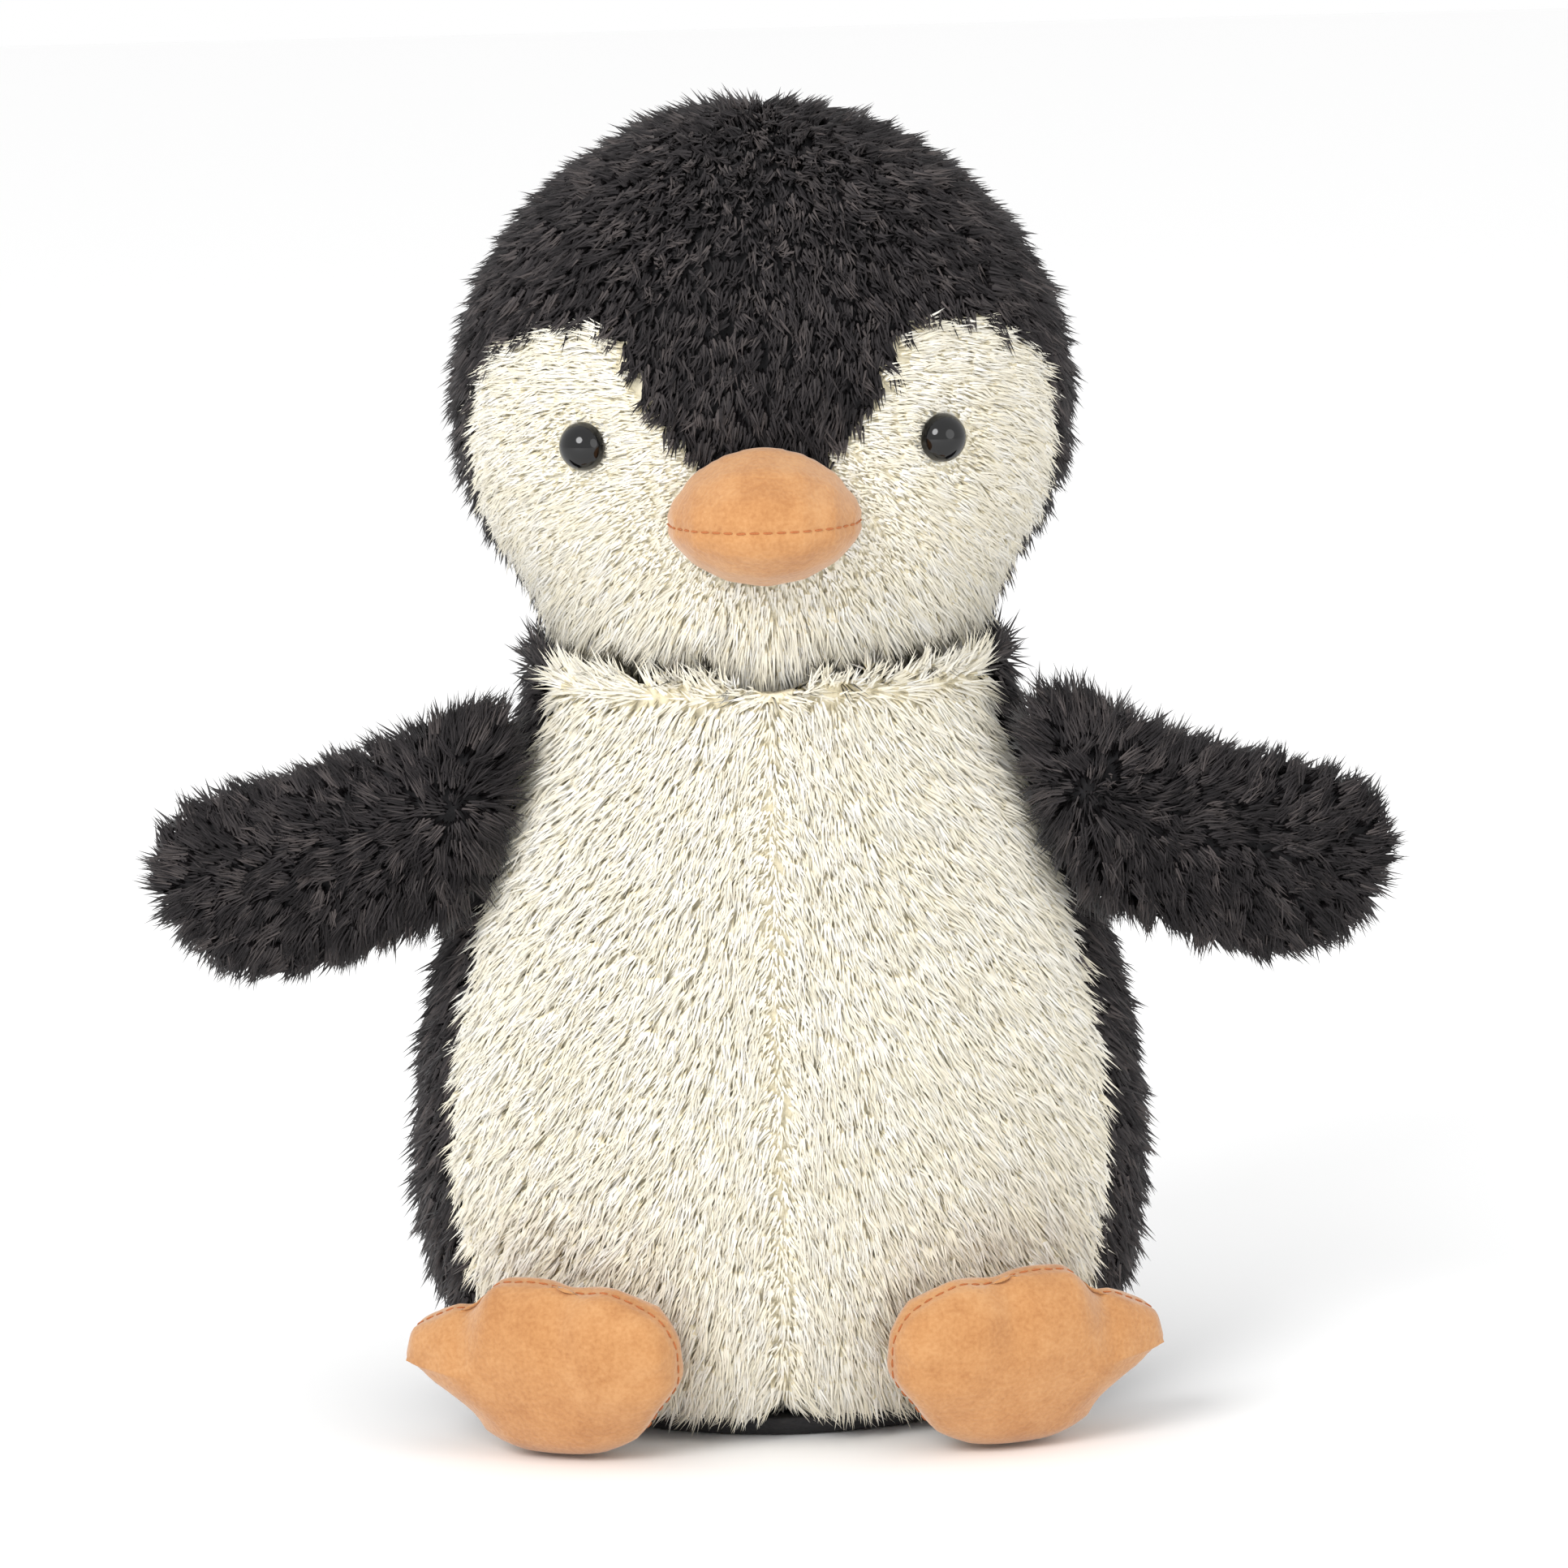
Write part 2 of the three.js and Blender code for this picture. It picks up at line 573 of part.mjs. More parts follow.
// The filling leaves room for the neck plug to lean inside it.
const lean = radians(Math.hypot(NECK_TILT_DEG, NECK_NOD_DEG) + 2);
const FUNNEL_SIDES = 12;
const facetRoom = 1 / Math.cos(Math.PI / FUNNEL_SIDES); // keeps the flats clear, not just the edges
const funnelMouth = NECK_CORE / Math.cos(lean) + HEAD_BALL * Math.tan(lean);
const funnel = bar(
  NECK_PIVOT,
  vector(0, 0, -1),
  HEAD_BALL,
  (NECK_CORE + CORE_ROOM) * facetRoom,
  (funnelMouth + CORE_ROOM) * facetRoom,
  FUNNEL_SIDES,
);
const headFilling = headForm(PLUSH + CLEARANCE)
  .subtract(roomyBall(NECK_PIVOT, NECK_BULB + CORE_ROOM))
  .subtract(funnel)
  .subtract(eyes[0].washerHole)
  .subtract(eyes[1].washerHole);
add("head_filling", headFilling, "fibre");

// The beak: two suede halves that meet at the mouth, closed against the face.
const BEAK_RINGS = 8;
const faceFront = headPoint(BEAK_HEIGHT, -Math.PI / 2).y;
function beakForm(inset) {
  return skinned(BEAK_RINGS + 1, 16, (j, angle) => {
    const across = -Math.cos((Math.PI * j) / BEAK_RINGS);
    const swell = Math.sqrt(1 - across * across);
    const rise = Math.cos(angle) > 0 ? BEAK_RISE : BEAK_DROP;
    return vector(
      (BEAK_WIDTH / 2 - inset) * across,
      faceFront + 4 - (BEAK_REACH + 4 - inset) * swell ** 0.8 * Math.sin(angle),
      BEAK_HEIGHT + (rise - inset) * swell ** 1.3 * Math.cos(angle),
    );
  });
}
const face = headForm(-CLEARANCE);
const beakSkin = beakForm(0).subtract(beakForm(SUEDE)).subtract(face);
add("beak_upper", beakSkin.intersect(above(BEAK_HEIGHT + CLEARANCE / 2)), "orange");
add("beak_lower", beakSkin.intersect(below(BEAK_HEIGHT - CLEARANCE / 2)), "orange");
add("beak_filling", beakForm(SUEDE + CLEARANCE).subtract(face), "fibre");

// ---- Wings ----
// Shift along the hinge, half chord, half thickness and slant, from root to tip.
const wingShape = throughRows([
  [0, 0, WING_ROOT_LENGTH / 2, WING_THICKNESS / 2, 0],
  [0.3, -0.5 * WING_TIP_DROP, WING_CHORD * 0.55, WING_THICKNESS * 0.52, WING_SLANT / 2],
  [0.55, -0.8 * WING_TIP_DROP, WING_CHORD * 0.5, WING_THICKNESS * 0.48, WING_SLANT],
  [0.8, -0.95 * WING_TIP_DROP, WING_CHORD * 0.46, WING_THICKNESS * 0.4, WING_SLANT],
  [1, -WING_TIP_DROP, WING_CHORD * 0.4, WING_THICKNESS * 0.25, WING_SLANT],
]);
const wingSpec = {
  root: WING_ROOT_LENGTH,
  thickness: WING_THICKNESS,
  length: WING_SPAN,
  shape: wingShape,
};
const wingAngle = -radians(WING_ANGLE_DEG);
const wingRoot = bodyPoint(WING_ROOT_HEIGHT, wingAngle);
const wingOut = outward(bodyPoint, WING_ROOT_HEIGHT, wingAngle);
const wingHinge = wingRoot.addScaledVector(wingOut, WING_THICKNESS / 2 + WING_CLEARANCE);
const rootLine = bodyPoint(WING_ROOT_HEIGHT + 10, wingAngle)
  .sub(bodyPoint(WING_ROOT_HEIGHT - 10, wingAngle))
  .setY(0)
  .normalize();

for (const [side, sign, lift] of [["left", 1, LEFT_WING_LIFT_DEG], ["right", -1, RIGHT_WING_LIFT_DEG]]) {
  const up = rootLine.clone().applyAxisAngle(vector(0, -1, 0), radians(lift));
  up.x *= sign;
  const thick = vector(0, 1, 0);
  const out = thick.clone().cross(up).multiplyScalar(sign);
  const origin = wingHinge.clone();
  origin.x *= sign;
  const form = (inset) => placed(pillow(wingSpec, inset), up, thick, out, origin);
  const skin = form(0).subtract(form(PLUSH));
  const front = block(vector(-FAR, -FAR, -FAR), vector(FAR, origin.y - CLEARANCE / 2, FAR));
  const back = block(vector(-FAR, origin.y + CLEARANCE / 2, -FAR), vector(FAR, FAR, FAR));
  const stitchHalf = WING_ROOT_LENGTH / 2 - 2 * PLUSH;
  const stitchStart = origin.clone().addScaledVector(up, -stitchHalf);
  add(`${side}_wing_front`, skin.intersect(front), "dark");
  add(`${side}_wing_back`, skin.intersect(back), "dark");
  add(`${side}_wing_seam_thread`, bar(stitchStart, up, 2 * stitchHalf, THREAD, THREAD, 8), "darkThread");
  const stitchHole = bar(origin.clone().addScaledVector(up, -FAR / 2), up, FAR, THREAD + WING_STITCH_ROOM);
  add(`${side}_wing_filling`, form(PLUSH + CLEARANCE).subtract(stitchHole), "fibre");
}

// ---- Feet ----
const footShape = throughRows([
  [0, 0, FOOT_HEEL_LENGTH / 2, FOOT_THICKNESS / 2, 0],
  [0.3, TOE_SHIFT / 2, FOOT_WIDTH * 0.46, FOOT_THICKNESS * 0.54, 0],
  [0.6, TOE_SHIFT, FOOT_WIDTH * 0.5, FOOT_THICKNESS * 0.52, 0],
  [0.85, TOE_SHIFT, FOOT_WIDTH * 0.5, FOOT_THICKNESS * 0.45, 0],
  [1, TOE_SHIFT, FOOT_WIDTH * 0.5, FOOT_THICKNESS * 0.3, 0],
]);
const footSpec = {
  root: FOOT_HEEL_LENGTH,
  thickness: FOOT_THICKNESS,
  length: FOOT_LENGTH,
  shape: footShape,
};
const footAngle = -radians(FOOT_ANGLE_DEG);
const heelHeight = FOOT_THICKNESS / 2 + CLEARANCE;
const heelOut = outward(bodyPoint, heelHeight, footAngle).setZ(0).normalize();
const heel = bodyPoint(heelHeight, footAngle).addScaledVector(
  heelOut,
  FOOT_THICKNESS / 2 + FOOT_CLEARANCE,
);

for (const [side, sign] of [["left", 1], ["right", -1]]) {
  const turn = radians(FOOT_TURN_DEG);
  const across = vector(Math.cos(turn), sign * Math.sin(turn), 0);
  const forward = vector(sign * Math.sin(turn), -Math.cos(turn), 0);
  const leanAngle = radians(FOOT_LEAN_DEG);
  const toes = vector(0, 0, Math.cos(leanAngle)).addScaledVector(forward, Math.sin(leanAngle));
  const sole = across.clone().cross(toes);
  const origin = vector(sign * heel.x, heel.y, heel.z);
  const form = (inset) => {
    let body = placed(pillow(footSpec, inset), across.clone().multiplyScalar(sign), sole, toes, origin);
    for (const spot of [-0.5, 0.5]) {
      const dip = origin.clone()
        .addScaledVector(toes, FOOT_LENGTH + 1)
        .addScaledVector(across, sign * TOE_SHIFT + spot * TOE_NOTCH_SPACING)
        .addScaledVector(sole, -FAR / 2);
      body = body.subtract(bar(dip, sole, FAR, TOE_NOTCH + inset));
    }
    return body;
  };
  const skin = form(0).subtract(form(SUEDE));
  // The sole is the half that faces forwards, the upper the half against the body.
  const forwards = sole.y < 0 ? sole : sole.clone().negate();
  const half = (direction) => {
    const reach = block(vector(-FAR, CLEARANCE / 2, -FAR), vector(FAR, FAR, FAR));
    return placed(reach, across, direction, across.clone().cross(direction), origin);
  };
  add(`${side}_foot_sole`, skin.intersect(half(forwards)), "orange");
  add(`${side}_foot_upper`, skin.intersect(half(forwards.clone().negate())), "orange");
  add(`${side}_foot_filling`, form(SUEDE + CLEARANCE), "fibre");
}

export default toy;
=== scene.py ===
"""A standing plush penguin: long-pile fur over stuffed forms, suede beak and feet, moulded eyes."""
import json
import math

import bmesh
import bpy
import numpy as np
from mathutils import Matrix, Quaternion, Vector
from mathutils.bvhtree import BVHTree

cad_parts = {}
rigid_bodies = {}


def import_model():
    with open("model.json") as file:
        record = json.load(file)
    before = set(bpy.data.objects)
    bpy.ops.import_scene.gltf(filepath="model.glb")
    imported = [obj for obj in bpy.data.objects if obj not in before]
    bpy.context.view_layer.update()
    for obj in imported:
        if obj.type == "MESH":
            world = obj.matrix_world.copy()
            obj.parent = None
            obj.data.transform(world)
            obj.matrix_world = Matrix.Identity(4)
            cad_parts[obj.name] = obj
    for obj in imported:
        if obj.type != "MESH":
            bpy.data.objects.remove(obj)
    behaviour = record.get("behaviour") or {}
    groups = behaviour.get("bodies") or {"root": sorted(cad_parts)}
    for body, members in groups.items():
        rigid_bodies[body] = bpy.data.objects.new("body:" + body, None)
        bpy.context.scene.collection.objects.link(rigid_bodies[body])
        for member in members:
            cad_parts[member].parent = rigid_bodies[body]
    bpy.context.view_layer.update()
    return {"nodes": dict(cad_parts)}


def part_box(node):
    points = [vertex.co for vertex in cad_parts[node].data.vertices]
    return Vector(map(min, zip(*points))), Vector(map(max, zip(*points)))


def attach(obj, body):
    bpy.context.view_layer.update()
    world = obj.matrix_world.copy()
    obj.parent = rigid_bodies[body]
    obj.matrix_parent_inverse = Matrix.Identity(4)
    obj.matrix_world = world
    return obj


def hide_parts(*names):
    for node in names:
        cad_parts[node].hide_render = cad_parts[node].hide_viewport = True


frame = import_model()

MM = 0.001
SIDES = (("left", 1), ("right", -1))

# ------------------------ camera, light and floor

VIEW_HEIGHT = 108.5 * MM      # what the camera looks at, above the floor
VIEW_SIDE = 2.2 * MM          # and how far towards the toy's left
VIEW_WIDTH = 275 * MM         # what the view takes in at the toy's own distance
CAMERA_DISTANCE = 1.5
SENSOR_WIDTH = 36             # in the millimetres that a camera counts its sensor in
CAMERA_RISE = math.radians(8.5)
CAMERA_ROLL = math.radians(-1.4)   # the toy seems to lean a little to its left


def make_camera():
    data = bpy.data.cameras.new("camera")
    data.sensor_width = SENSOR_WIDTH
    data.lens = SENSOR_WIDTH * CAMERA_DISTANCE / VIEW_WIDTH
    camera = bpy.data.objects.new("camera", data)
    bpy.context.scene.collection.objects.link(camera)
    back = Vector((0, -math.cos(CAMERA_RISE), math.sin(CAMERA_RISE)))
    camera.location = Vector((VIEW_SIDE, 0, VIEW_HEIGHT)) + back * CAMERA_DISTANCE
    camera.rotation_mode = "QUATERNION"
    roll = Quaternion(back, CAMERA_ROLL)
    camera.rotation_quaternion = roll @ (-back).to_track_quat("-Z", "Y")
    bpy.context.scene.camera = camera


LIGHT_AIM = Vector((0, 0, 120 * MM))


def area_light(name, place, size, power):
    """A round soft light that faces the toy's middle."""
    data = bpy.data.lights.new(name, "AREA")
    data.shape = "DISK"
    data.size = size
    data.energy = power
    light = bpy.data.objects.new(name, data)
    light.location = place
    light.rotation_mode = "QUATERNION"
    light.rotation_quaternion = (LIGHT_AIM - Vector(place)).to_track_quat("-Z", "Y")
    bpy.context.scene.collection.objects.link(light)


# ------------------------ colour and node helpers

def linear(colour):
    """A linear RGBA colour from an sRGB hex value such as "#e1a773"."""
    parts = [int(colour[i:i + 2], 16) / 255 for i in (1, 3, 5)]
    curve = [c / 12.92 if c <= 0.04045 else ((c + 0.055) / 1.055) ** 2.4 for c in parts]
    return (*curve, 1.0)


def add_node(tree, kind, settings=None, **sockets):
    """Adds a node. settings are its properties; sockets are input values or links, by name."""
    made = tree.nodes.new(kind)
    for name, value in (settings or {}).items():
        setattr(made, name, value)
    for name, value in sockets.items():
        key = int(name[1:]) if name[0] == "_" and name[1:].isdigit() else name.replace("_", " ")
        socket = made.inputs[key]
        if isinstance(value, bpy.types.NodeSocket):
            tree.links.new(value, socket)
        else:
            socket.default_value = value
    return made


def new_material(name):
    made = bpy.data.materials.new(name)
    made.use_nodes = True
    return made, made.node_tree, made.node_tree.nodes["Principled BSDF"]


def plain_material(name, colour, **sockets):
    """A finish whose values are the same all over: pile strands are too thin to hold a pattern."""
    made, tree, shader = new_material(name)
    shader.inputs["Base Color"].default_value = linear(colour)
    for socket, value in sockets.items():
        shader.inputs[socket.replace("_", " ")].default_value = value
    return made


# ------------------------ meshes from the frame

def ease(share):
    """0 below 0 and 1 above 1, with a smooth rise between."""
    share = np.clip(share, 0, 1)
    return share * share * (3 - 2 * share)


def welded(nodes):
    """One mesh of several CAD nodes, with the loose triangles of each welded."""
    made = bmesh.new()
    for node in nodes:
        made.from_mesh(frame["nodes"][node].data)
    bmesh.ops.remove_doubles(made, verts=made.verts, dist=1e-6)
    return made


def surface_tree(nodes):
    """Finds the nearest place on the surface of some CAD nodes."""
    work = welded(nodes)
    tree = BVHTree.FromBMesh(work)
    work.free()
    return tree


def new_piece(name, mesh):
    piece = bpy.data.objects.new(name, mesh)
    bpy.context.scene.collection.objects.link(piece)
    return piece


def evaluated(piece):
    """The piece's mesh with its modifiers applied, as a plain mesh."""
    graph = bpy.context.evaluated_depsgraph_get()
    return bpy.data.meshes.new_from_object(piece.evaluated_get(graph))


def bake_modifiers(piece):
    """Makes the modified shape the piece's own, and removes its modifiers."""
    mesh = evaluated(piece)
    piece.modifiers.clear()
    old, piece.data = piece.data, mesh
    bpy.data.meshes.remove(old)


def keep_largest_shell(mesh):
    """Removes the closed shells inside a remeshed form, keeping the outer one."""
    work = bmesh.new()
    work.from_mesh(mesh)
    unseen = set(work.verts)
    shells = []
    while unseen:
        queue = [unseen.pop()]
        shell = []
        while queue:
            vert = queue.pop()
            shell.append(vert)
            for edge in vert.link_edges:
                other = edge.other_vert(vert)
                if other in unseen:
                    unseen.discard(other)
                    queue.append(other)
        shells.append(shell)
    shells.sort(key=len)
    for shell in shells[:-1]:
        bmesh.ops.delete(work, geom=shell, context="VERTS")
    bmesh.ops.recalc_face_normals(work, faces=work.faces)
    work.to_mesh(mesh)
    work.free()


def points_of(mesh):
    flat = np.empty(len(mesh.vertices) * 3, dtype=np.float64)
    mesh.vertices.foreach_get("co", flat)
    return flat.reshape(-1, 3)


def normals_of(mesh):
    flat = np.empty(len(mesh.vertices) * 3, dtype=np.float64)
    mesh.vertices.foreach_get("normal", flat)
    return flat.reshape(-1, 3)


def set_points(mesh, points):
    mesh.vertices.foreach_set("co", points.ravel())
    mesh.update()


def shade_smooth(piece):
    piece.data.polygons.foreach_set("use_smooth", [True] * len(piece.data.polygons))


def edges_of(mesh):
    flat = np.empty(len(mesh.edges) * 2, dtype=np.int32)
    mesh.edges.foreach_get("vertices", flat)
    return flat.reshape(-1, 2)


def mean_of_neighbours(values, edges):
    """For each vertex, the mean of a value over the vertices joined to it."""
    total = np.zeros_like(values)
    count = np.zeros(len(values))
    for here, there in ((0, 1), (1, 0)):
        np.add.at(total, edges[:, here], values[edges[:, there]])
        np.add.at(count, edges[:, here], 1)
    count = np.maximum(count, 1)
    return total / (count if values.ndim == 1 else count[:, None])


FLOOR_GAP = 0.2 * MM


def keep_above_floor(piece):
    """Flattens what would reach into the floor, as the toy's weight does."""
    points = points_of(piece.data)
    points[:, 2] = np.maximum(points[:, 2], FLOOR_GAP)
    set_points(piece.data, points)


INSET_SMOOTHING = 4      # rounds of averaging on how far in each point is set
STUFFING_FRAMES = 20
CLOTH_STIFFNESS = 8


def stuffed_form(name, nodes, voxel, smoothing, inset, reshape=None):
    """A smooth closed form over several CAD nodes. inset gives how far in each point is set."""
    work = welded(nodes)
    mesh = bpy.data.meshes.new(name)
    work.to_mesh(mesh)
    work.free()
    piece = new_piece(name, mesh)
    remesh = piece.modifiers.new("weave", "REMESH")
    remesh.mode = "VOXEL"
    remesh.voxel_size = voxel
    bake_modifiers(piece)
    keep_largest_shell(piece.data)
    smooth = piece.modifiers.new("smooth", "SMOOTH")
    smooth.factor = 0.5
    smooth.iterations = smoothing
    bake_modifiers(piece)
    points, normals = points_of(piece.data), normals_of(piece.data)
    if reshape:
        points = reshape(points / MM) * MM
    depth = inset(points / MM, normals)
    edges = edges_of(piece.data)
    for turn in range(INSET_SMOOTHING):
        depth = (depth + mean_of_neighbours(depth, edges)) / 2
    set_points(piece.data, points - normals * depth[:, None] * MM)
    shade_smooth(piece)
    return piece


def inflate(piece, held, pressure, most):
    """Fills a form by cloth simulation. Held points stay, and none moves further than most."""
    start = points_of(piece.data)
    pins = piece.vertex_groups.new(name="held")
    pins.add([int(number) for number in np.flatnonzero(held)], 1.0, "REPLACE")
    cloth = piece.modifiers.new("stuffing", "CLOTH")
    cloth.settings.vertex_group_mass = "held"
    cloth.settings.use_pressure = True
    cloth.settings.uniform_pressure_force = pressure
    cloth.settings.effector_weights.gravity = 0
    cloth.settings.tension_stiffness = CLOTH_STIFFNESS
    cloth.settings.compression_stiffness = CLOTH_STIFFNESS
    cloth.point_cache.frame_end = STUFFING_FRAMES
    for number in range(1, STUFFING_FRAMES + 1):
        bpy.context.scene.frame_set(number)
    mesh = evaluated(piece)
    moved = points_of(mesh) - start
    far = np.linalg.norm(moved, axis=1, keepdims=True)
    bpy.data.meshes.remove(mesh)
    piece.modifiers.clear()
    piece.vertex_groups.clear()
    bpy.context.scene.frame_set(1)
    set_points(piece.data, start + moved * np.minimum(1, most / np.maximum(far, 1e-9)))


def seam_nearness(form, nodes, reach):
    """1 on the seam between two CAD panels, falling to 0 at a distance from it."""
    first, second = (surface_tree([node]) for node in nodes)
    apart = np.array([abs(first.find_nearest(vert.co)[3] - second.find_nearest(vert.co)[3])
                      for vert in form.data.vertices])
    return np.clip(1 - apart / reach, 0, 1)


SEAM_SMOOTHING = 6


def seam_line(form, nodes, name, lift):
    """The edges of a form where two panels meet, smoothed and lifted off its surface."""
    labels = face_labels(form, nodes)
    work = bmesh.new()
    work.from_mesh(form.data)
    work.faces.ensure_lookup_table()
    work.normal_update()
    wanted = {edge for edge in work.edges
              if len({labels[face.index] for face in edge.link_faces}) > 1}
    for vert in work.verts:
        vert.co += vert.normal * lift
    bmesh.ops.delete(work, geom=[e for e in work.edges if e not in wanted], context="EDGES_FACES")
    bmesh.ops.delete(work, geom=list(work.faces), context="FACES_ONLY")
    bmesh.ops.delete(work, geom=[v for v in work.verts if not v.link_edges], context="VERTS")
    mesh = bpy.data.meshes.new(name)
    work.to_mesh(mesh)
    work.free()
    edges = edges_of(mesh)
    points = points_of(mesh)
    for turn in range(SEAM_SMOOTHING):
        points = (points + mean_of_neighbours(points, edges)) / 2
    set_points(mesh, points)
    return mesh


def new_tree(name, source, sizes, result):
    """An empty geometry nodes tree with its sockets, and the identifier of each size's input."""
    tree = bpy.data.node_groups.new(name, "GeometryNodeTree")
    face = tree.interface
    face.new_socket(source, in_out="INPUT", socket_type="NodeSocketGeometry")
    inputs = {}
    for size, kind in sizes.items():
        socket = face.new_socket(size, in_out="INPUT", socket_type="NodeSocket" + kind)
        inputs[size] = socket.identifier
    face.new_socket(result, in_out="OUTPUT", socket_type="NodeSocketGeometry")
    return tree, inputs


def grow(piece, tree, inputs, sizes):
    """Gives a piece the mesh that a geometry nodes tree makes from it."""
    modifier = piece.modifiers.new(tree.name, "NODES")
    modifier.node_group = tree
    for size, amount in sizes.items():
        modifier[inputs[size]] = amount
    bake_modifiers(piece)


def stitch_tree(thread_finish):
    """Geometry nodes that lay short stitches along a line of edges."""
    sizes = {"Spacing": "Float", "Stitch length": "Float", "Thread": "Float"}
    tree, inputs = new_tree("stitches", "Seam", sizes, "Stitches")
    given = add_node(tree, "NodeGroupInput")
    line = add_node(tree, "GeometryNodeMeshToCurve", Mesh=given.outputs["Seam"])
    spots = add_node(tree, "GeometryNodeCurveToPoints", {"mode": "LENGTH"},
                     Curve=line.outputs[0], Length=given.outputs["Spacing"])
    stitch = add_node(tree, "GeometryNodeMeshUVSphere", Segments=6, Rings=5, Radius=0.5)
    size = add_node(tree, "ShaderNodeCombineXYZ", X=given.outputs["Thread"],
                    Y=given.outputs["Thread"], Z=given.outputs["Stitch length"])
    turned = add_node(tree, "FunctionNodeAlignRotationToVector", {"axis": "Z"},
                      Vector=spots.outputs["Tangent"])
    laid = add_node(tree, "GeometryNodeInstanceOnPoints", Points=spots.outputs["Points"],
                    Instance=stitch.outputs[0], Rotation=turned.outputs[0], Scale=size.outputs[0])
    real = add_node(tree, "GeometryNodeRealizeInstances", Geometry=laid.outputs[0])
    finish = add_node(tree, "GeometryNodeSetMaterial", Geometry=real.outputs[0],
                      Material=thread_finish)
    add_node(tree, "NodeGroupOutput", Stitches=finish.outputs[0])
    return tree, inputs


# ------------------------ pile

# Shares of a strand's length, unless another measure is named.
STRAND_BENDS = (0.08, 0.14, 0.20)   # how far each tuft's first strand bows
SECOND_BEND = -0.5                  # the other strand's bow beside the first's
SECOND_STRAND = 0.82                # and its length
STRAND_WAIST = 0.34                 # where a strand is widest
TUFT_SPREAD = 0.2                   # how far the two tips part
ROOT_SPREAD = 0.15                  # how far their roots part, as a share of that
WAIST_SPREAD = 0.4                  # and their waists
UNIT_WIDTH = 0.12                   # width of a strand one unit long
STRAND_SIDES = 3

PILE_SIZES = {"Density": "Float", "Lock density": "Float", "Length": "Float", "Width": "Float",
              "Lean": "Float", "Stray": "Float", "Gather": "Float", "Fuzz": "Float",
              "Softness": "Float", "Seed": "Int"}
# What the nodes read from the skin, the strands and their faces.
ATTRIBUTES = {"nap": "FLOAT_VECTOR", "hair": "FLOAT", "root_normal": "FLOAT_VECTOR",
              "skin_normal": "FLOAT_VECTOR", "band": "INT", "tone": "FLOAT"}
SEEDS = {"lock shade": 5, "lock growth": 11, "own growth": 23, "own shade": 41}
MOOD_SEED, FUZZ_SEED, PICK_SEED = 3, 17, 29
LOCK_SEED = 7                       # added to the seed for the places of the locks
SHORTEST_STRAND, STRAND_RANGE = 0.6, 0.35
SHORTEST_LOCK, LOCK_RANGE = 0.8, 0.4
LOCK_SHADE = 0.6                    # how much of a strand's shade comes from its lock
SHADE_STEPS = (0.0, 0.36, 0.6, 0.78)   # where each tip shade begins


def strand_shapes():
    """Three tufts, one unit long: each is two strands, pointed at both ends, that bow and part."""
    shapes = bpy.data.collections.new("strand_shapes")
    for number, bend in enumerate(STRAND_BENDS):
        work = bmesh.new()
        band = work.faces.layers.int.new("band")
        for tall, bow, spread in ((1, bend, 0), (SECOND_STRAND, SECOND_BEND * bend, TUFT_SPREAD)):
            foot = work.verts.new((spread * ROOT_SPREAD, 0, 0))
            tip = work.verts.new((0, spread, tall))
            ring = []
            for corner in range(STRAND_SIDES):
                turn = 2 * math.pi * corner / STRAND_SIDES
                x = bow + UNIT_WIDTH / 2 * math.cos(turn)
                y = spread * WAIST_SPREAD + UNIT_WIDTH / 2 * math.sin(turn)
                ring.append(work.verts.new((x, y, tall * STRAND_WAIST)))
            for corner in range(STRAND_SIDES):
                here, there = ring[corner], ring[(corner + 1) % STRAND_SIDES]
                work.faces.new((foot, there, here))
                work.faces.new((here, there, tip))[band] = 1
        mesh = bpy.data.meshes.new(f"strand_{number}")
        work.to_mesh(mesh)
        work.free()
        shapes.objects.link(bpy.data.objects.new(f"strand_{number}", mesh))
    return shapes


def pile_tree(shapes, finishes):
    """Geometry nodes that plant tufts on a skin, gathered into locks and combed along "nap"."""
    tree, inputs = new_tree("pile", "Skin", PILE_SIZES, "Pile")
    given = add_node(tree, "NodeGroupInput").outputs
    lock_seed = add_node(tree, "ShaderNodeMath", {"operation": "ADD"}, _0=given["Seed"],
                         _1=float(LOCK_SEED))
    locks = add_node(tree, "GeometryNodeDistributePointsOnFaces", Mesh=given["Skin"],
                     Density=given["Lock density"], Seed=lock_seed.outputs[0])
    strands = add_node(tree, "GeometryNodeDistributePointsOnFaces", Mesh=given["Skin"],
                       Density=given["Density"], Seed=given["Seed"])
    read = {name: add_node(tree, "GeometryNodeInputNamedAttribute", {"data_type": kind},
                           Name=name).outputs["Attribute"] for name, kind in ATTRIBUTES.items()}
    chance = {name: add_node(tree, "FunctionNodeRandomValue", {"data_type": "FLOAT"}, _2=0.0,
                             _3=1.0, Seed=seed).outputs[1] for name, seed in SEEDS.items()}
    direction, length, lock_tone = comb_strands(tree, given, read, chance,
                                                locks.outputs["Points"],
                                                strands.outputs["Normal"])
    planted = plant(tree, given, shapes, strands, direction, length)
    tones = (lock_tone, chance["own shade"])
    shaded = shade_strands(tree, planted, read, tones, finishes, given["Softness"])
    add_node(tree, "NodeGroupOutput", Pile=shaded.outputs[0])
    return tree, inputs


